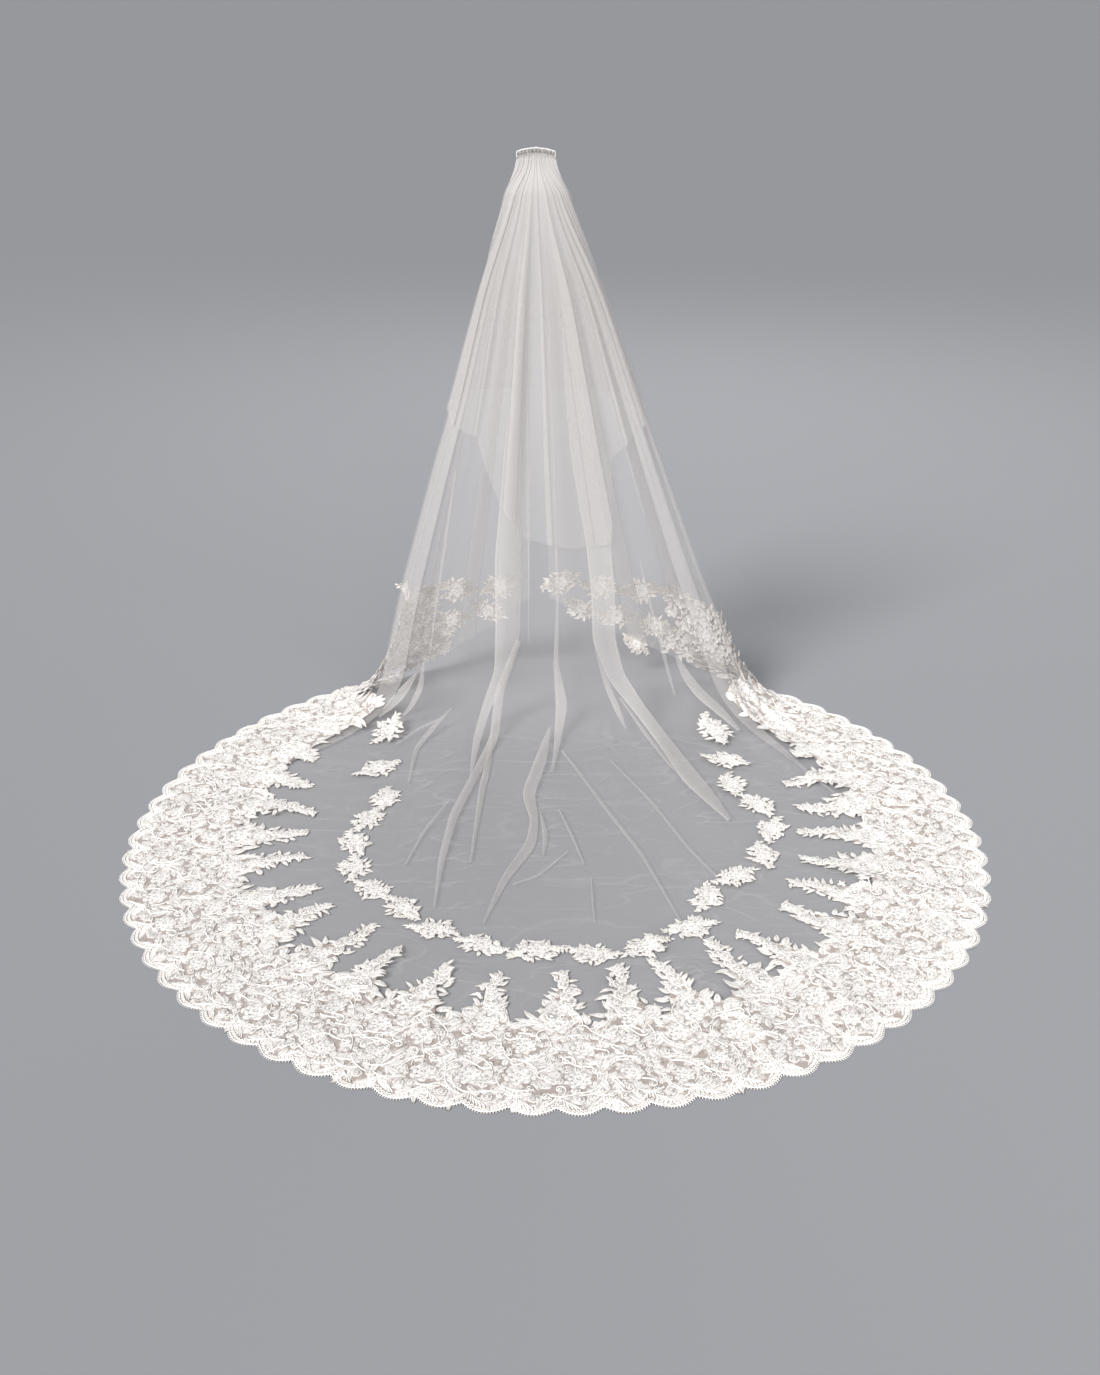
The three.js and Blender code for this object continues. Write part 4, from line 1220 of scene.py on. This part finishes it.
for i, spray in enumerate(ringSprays):
    x, y = planAt(spray["turn"], spray["radius"])
    batch = sprayBatch(x, y, spray["size"], math.radians(spray["turn"]) + spray["lean"])
    sewSpray(batch, f"ring_spray_{i + 1}", ontoTrain, roseMaterial, f"trail_spray_{i + 1}")
for i, spray in enumerate(farSprays):
    batch = sprayBatch(spray["x"], cone["floorZ"] + spray["up"], spray["size"], spray["lean"])
    sewSpray(batch, f"free_edge_spray_{i + 1}", ontoFarWall, farSprayMaterial, f"far_spray_{i + 1}")

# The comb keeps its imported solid; its binding is worked in full
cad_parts["comb"].data.materials.clear()
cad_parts["comb"].data.materials.append(combMaterial)

binding = {
    "ribStep": 3.7,
    "ribDepth": 0.4,
    "sides": 20,
    "step": 0.5,
    "endRound": 3,
    "rim": 1.2,
    "rimDrop": 15,
    "knot": 3.0,
    "knotCord": 1.1,
}


def tubeShape(path, radius, sides=8):
    path = np.asarray(path, float)
    along = np.gradient(path, axis=0)
    along /= lengthOf(along)
    first = np.cross(along, (0, 1.0, 0.3))
    first /= lengthOf(first)
    second = np.cross(along, first)
    angle = np.arange(sides) / sides * 2 * np.pi
    ring = first[:, None] * np.cos(angle)[None, :, None] + second[:, None] * np.sin(angle)[None, :, None]
    points = path[:, None] + ring * radius
    return points.reshape(-1, 3), gridTriangles(len(path), sides, closed=True)


def boundBar():
    low, high = (np.array(corner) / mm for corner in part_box("comb_binding"))
    half, depth, middleY = high[0], (high[1] - low[1]) / 2, (high[1] + low[1]) / 2
    tall = (high[2] - low[2] - cone["barArch"]) / 2
    x = np.arange(-half, half + 0.01, binding["step"])
    x[-1] = half
    angle = np.arange(binding["sides"]) / binding["sides"] * 2 * np.pi
    nearEnd = np.clip(np.abs(x) - half + binding["endRound"], 0, binding["endRound"]) / binding["endRound"]
    end = np.sqrt(np.clip(1 - nearEnd**2, 0.02, 1))
    rib = 0.5 + 0.5 * np.cos(2 * np.pi * x / binding["ribStep"])
    lower = smooth(-np.sin(angle), -0.9, -0.6)  # the rim above the ribs stays smooth
    size = 1 - binding["ribDepth"] * (1 - rib)[:, None] * lower[None]
    y = middleY + depth * keptSign(np.cos(angle), 0.6)[None] * size * end[:, None]
    archZ = high[2] - tall - cone["barArch"] * (x / half) ** 2
    z = archZ[:, None] + tall * keptSign(np.sin(angle), 0.6)[None] * end[:, None]
    points = np.stack([x[:, None] + 0 * y, y, z], -1)
    # the rise falls between the ribs below the rim, so the binding's material paints dark shade in those
    # grooves
    rises = [mix(1.0, rib[:, None] ** 3, lower[None]).ravel()]
    faces = [gridTriangles(len(x), binding["sides"], closed=True)[:, ::-1]]
    points, count = [points.reshape(-1, 3)], len(x) * binding["sides"]
    # a corded rim over the top and down both ends, with a small knot in the middle
    turn = np.linspace(0, 1, 80)
    rimY = low[1] + 1.5
    rimZ = high[2] - 1.2 - cone["barArch"] * (2 * turn - 1) ** 2
    top = np.stack([mix(-half, half, turn), 0 * turn + rimY, rimZ], -1)
    drop = np.linspace(binding["rimDrop"], 1, 8)
    left = np.stack([0 * drop - half, 0 * drop + rimY, top[0, 2] - drop], -1)
    right = left[::-1] * (-1, 1, 1)
    around = np.linspace(0, 2 * np.pi, 30)
    knot = np.stack([binding["knot"] * np.sin(around), low[1] + 0.5 + 0.8 * np.cos(2 * around),
                     high[2] - 0.4 + 0.55 * binding["knot"] * np.sin(2 * around)], -1)
    rim = np.concatenate([left, top, right])
    for path, radius in ((rim, binding["rim"]), (knot, binding["knotCord"])):
        tube, triangles = tubeShape(path, radius)
        tube[:, 2] = np.minimum(tube[:, 2], high[2] + 2.5)
        points.append(tube)
        faces.append(triangles + count)
        rises.append(np.ones(len(tube)))
        count += len(tube)
    piece = meshPiece("bound_bar", np.concatenate(points), np.concatenate(faces), bindingMaterial)
    setAttribute(piece.data, "rise", np.concatenate(rises))
    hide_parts("comb_binding")


boundBar()

# Floor, light and camera
# Name, kind, place, size in metres or as an angle in degrees, power and the point it is aimed at
lamps = named("name kind at size power aim", [
    ("fill", "AREA", (3.8, -4.2, 2.4), 3.0, 60, (0.05, -0.6, -1.4)),
    ("back", "AREA", (0.8, 4.6, 3.0), 3.0, 110, (0.0, -0.4, -1.2)),
    ("key", "SUN", (-3.0, -3.2, 3.6), 22, 3.0, (0.0, 0.0, 0.0)),
    ("front", "SUN", (0.4, -4.0, 1.2), 26, 1.1, (0.0, 0.0, 0.0)),
])


def buildStudio():
    mesh = bpy.data.meshes.new("floor")
    half, z = studio["floorHalf"], cone["floorZ"] * mm
    corners = [(-half, -half, z), (half, -half, z), (half, half, z), (-half, half, z)]
    mesh.from_pydata(corners, [], [(0, 1, 2, 3)])
    floor = bpy.data.objects.new("floor", mesh)
    scene.collection.objects.link(floor)
    # matt paint, even and without a gleam, so the white lace stands out
    paint = {"Base Color": toLinear(studio["floorHex"]), "Roughness": 0.9, "Specular IOR Level": 0.1}
    mesh.materials.append(newMaterial("paintedStudioFloor", paint)[0])
    world = bpy.data.worlds.new("studio")
    world.use_nodes = True
    sky = world.node_tree.nodes["Background"]
    sky.inputs["Color"].default_value = toLinear(studio["skyHex"])
    sky.inputs["Strength"].default_value = studio["skyStrength"]
    scene.world = world
    for lamp in lamps:
        light = bpy.data.lights.new(lamp["name"], lamp["kind"])
        light.energy = lamp["power"]
        if lamp["kind"] == "SUN":
            light.angle = math.radians(lamp["size"])  # as soft as a lamp behind a panel of cloth
        else:
            light.size = lamp["size"]
        holder = bpy.data.objects.new(lamp["name"], light)
        holder.location = lamp["at"]
        way = Vector(lamp["aim"]) - Vector(lamp["at"])
        holder.rotation_euler = way.to_track_quat("-Z", "Y").to_euler()
        scene.collection.objects.link(holder)
    lens = bpy.data.cameras.new("camera")
    lens.lens, lens.sensor_width, lens.clip_end = studio["lens"], 36, studio["clipEnd"]
    camera = bpy.data.objects.new("camera", lens)
    camera.location = studio["cameraAt"]
    camera.rotation_euler = (math.radians(90 - studio["pitch"]), 0, 0)
    scene.collection.objects.link(camera)
    scene.camera = camera
    scene.view_settings.view_transform = "Standard"
    scene.cycles.transparent_max_bounces = 40  # the net lies in many layers at the comb


buildStudio()
print("scene built")
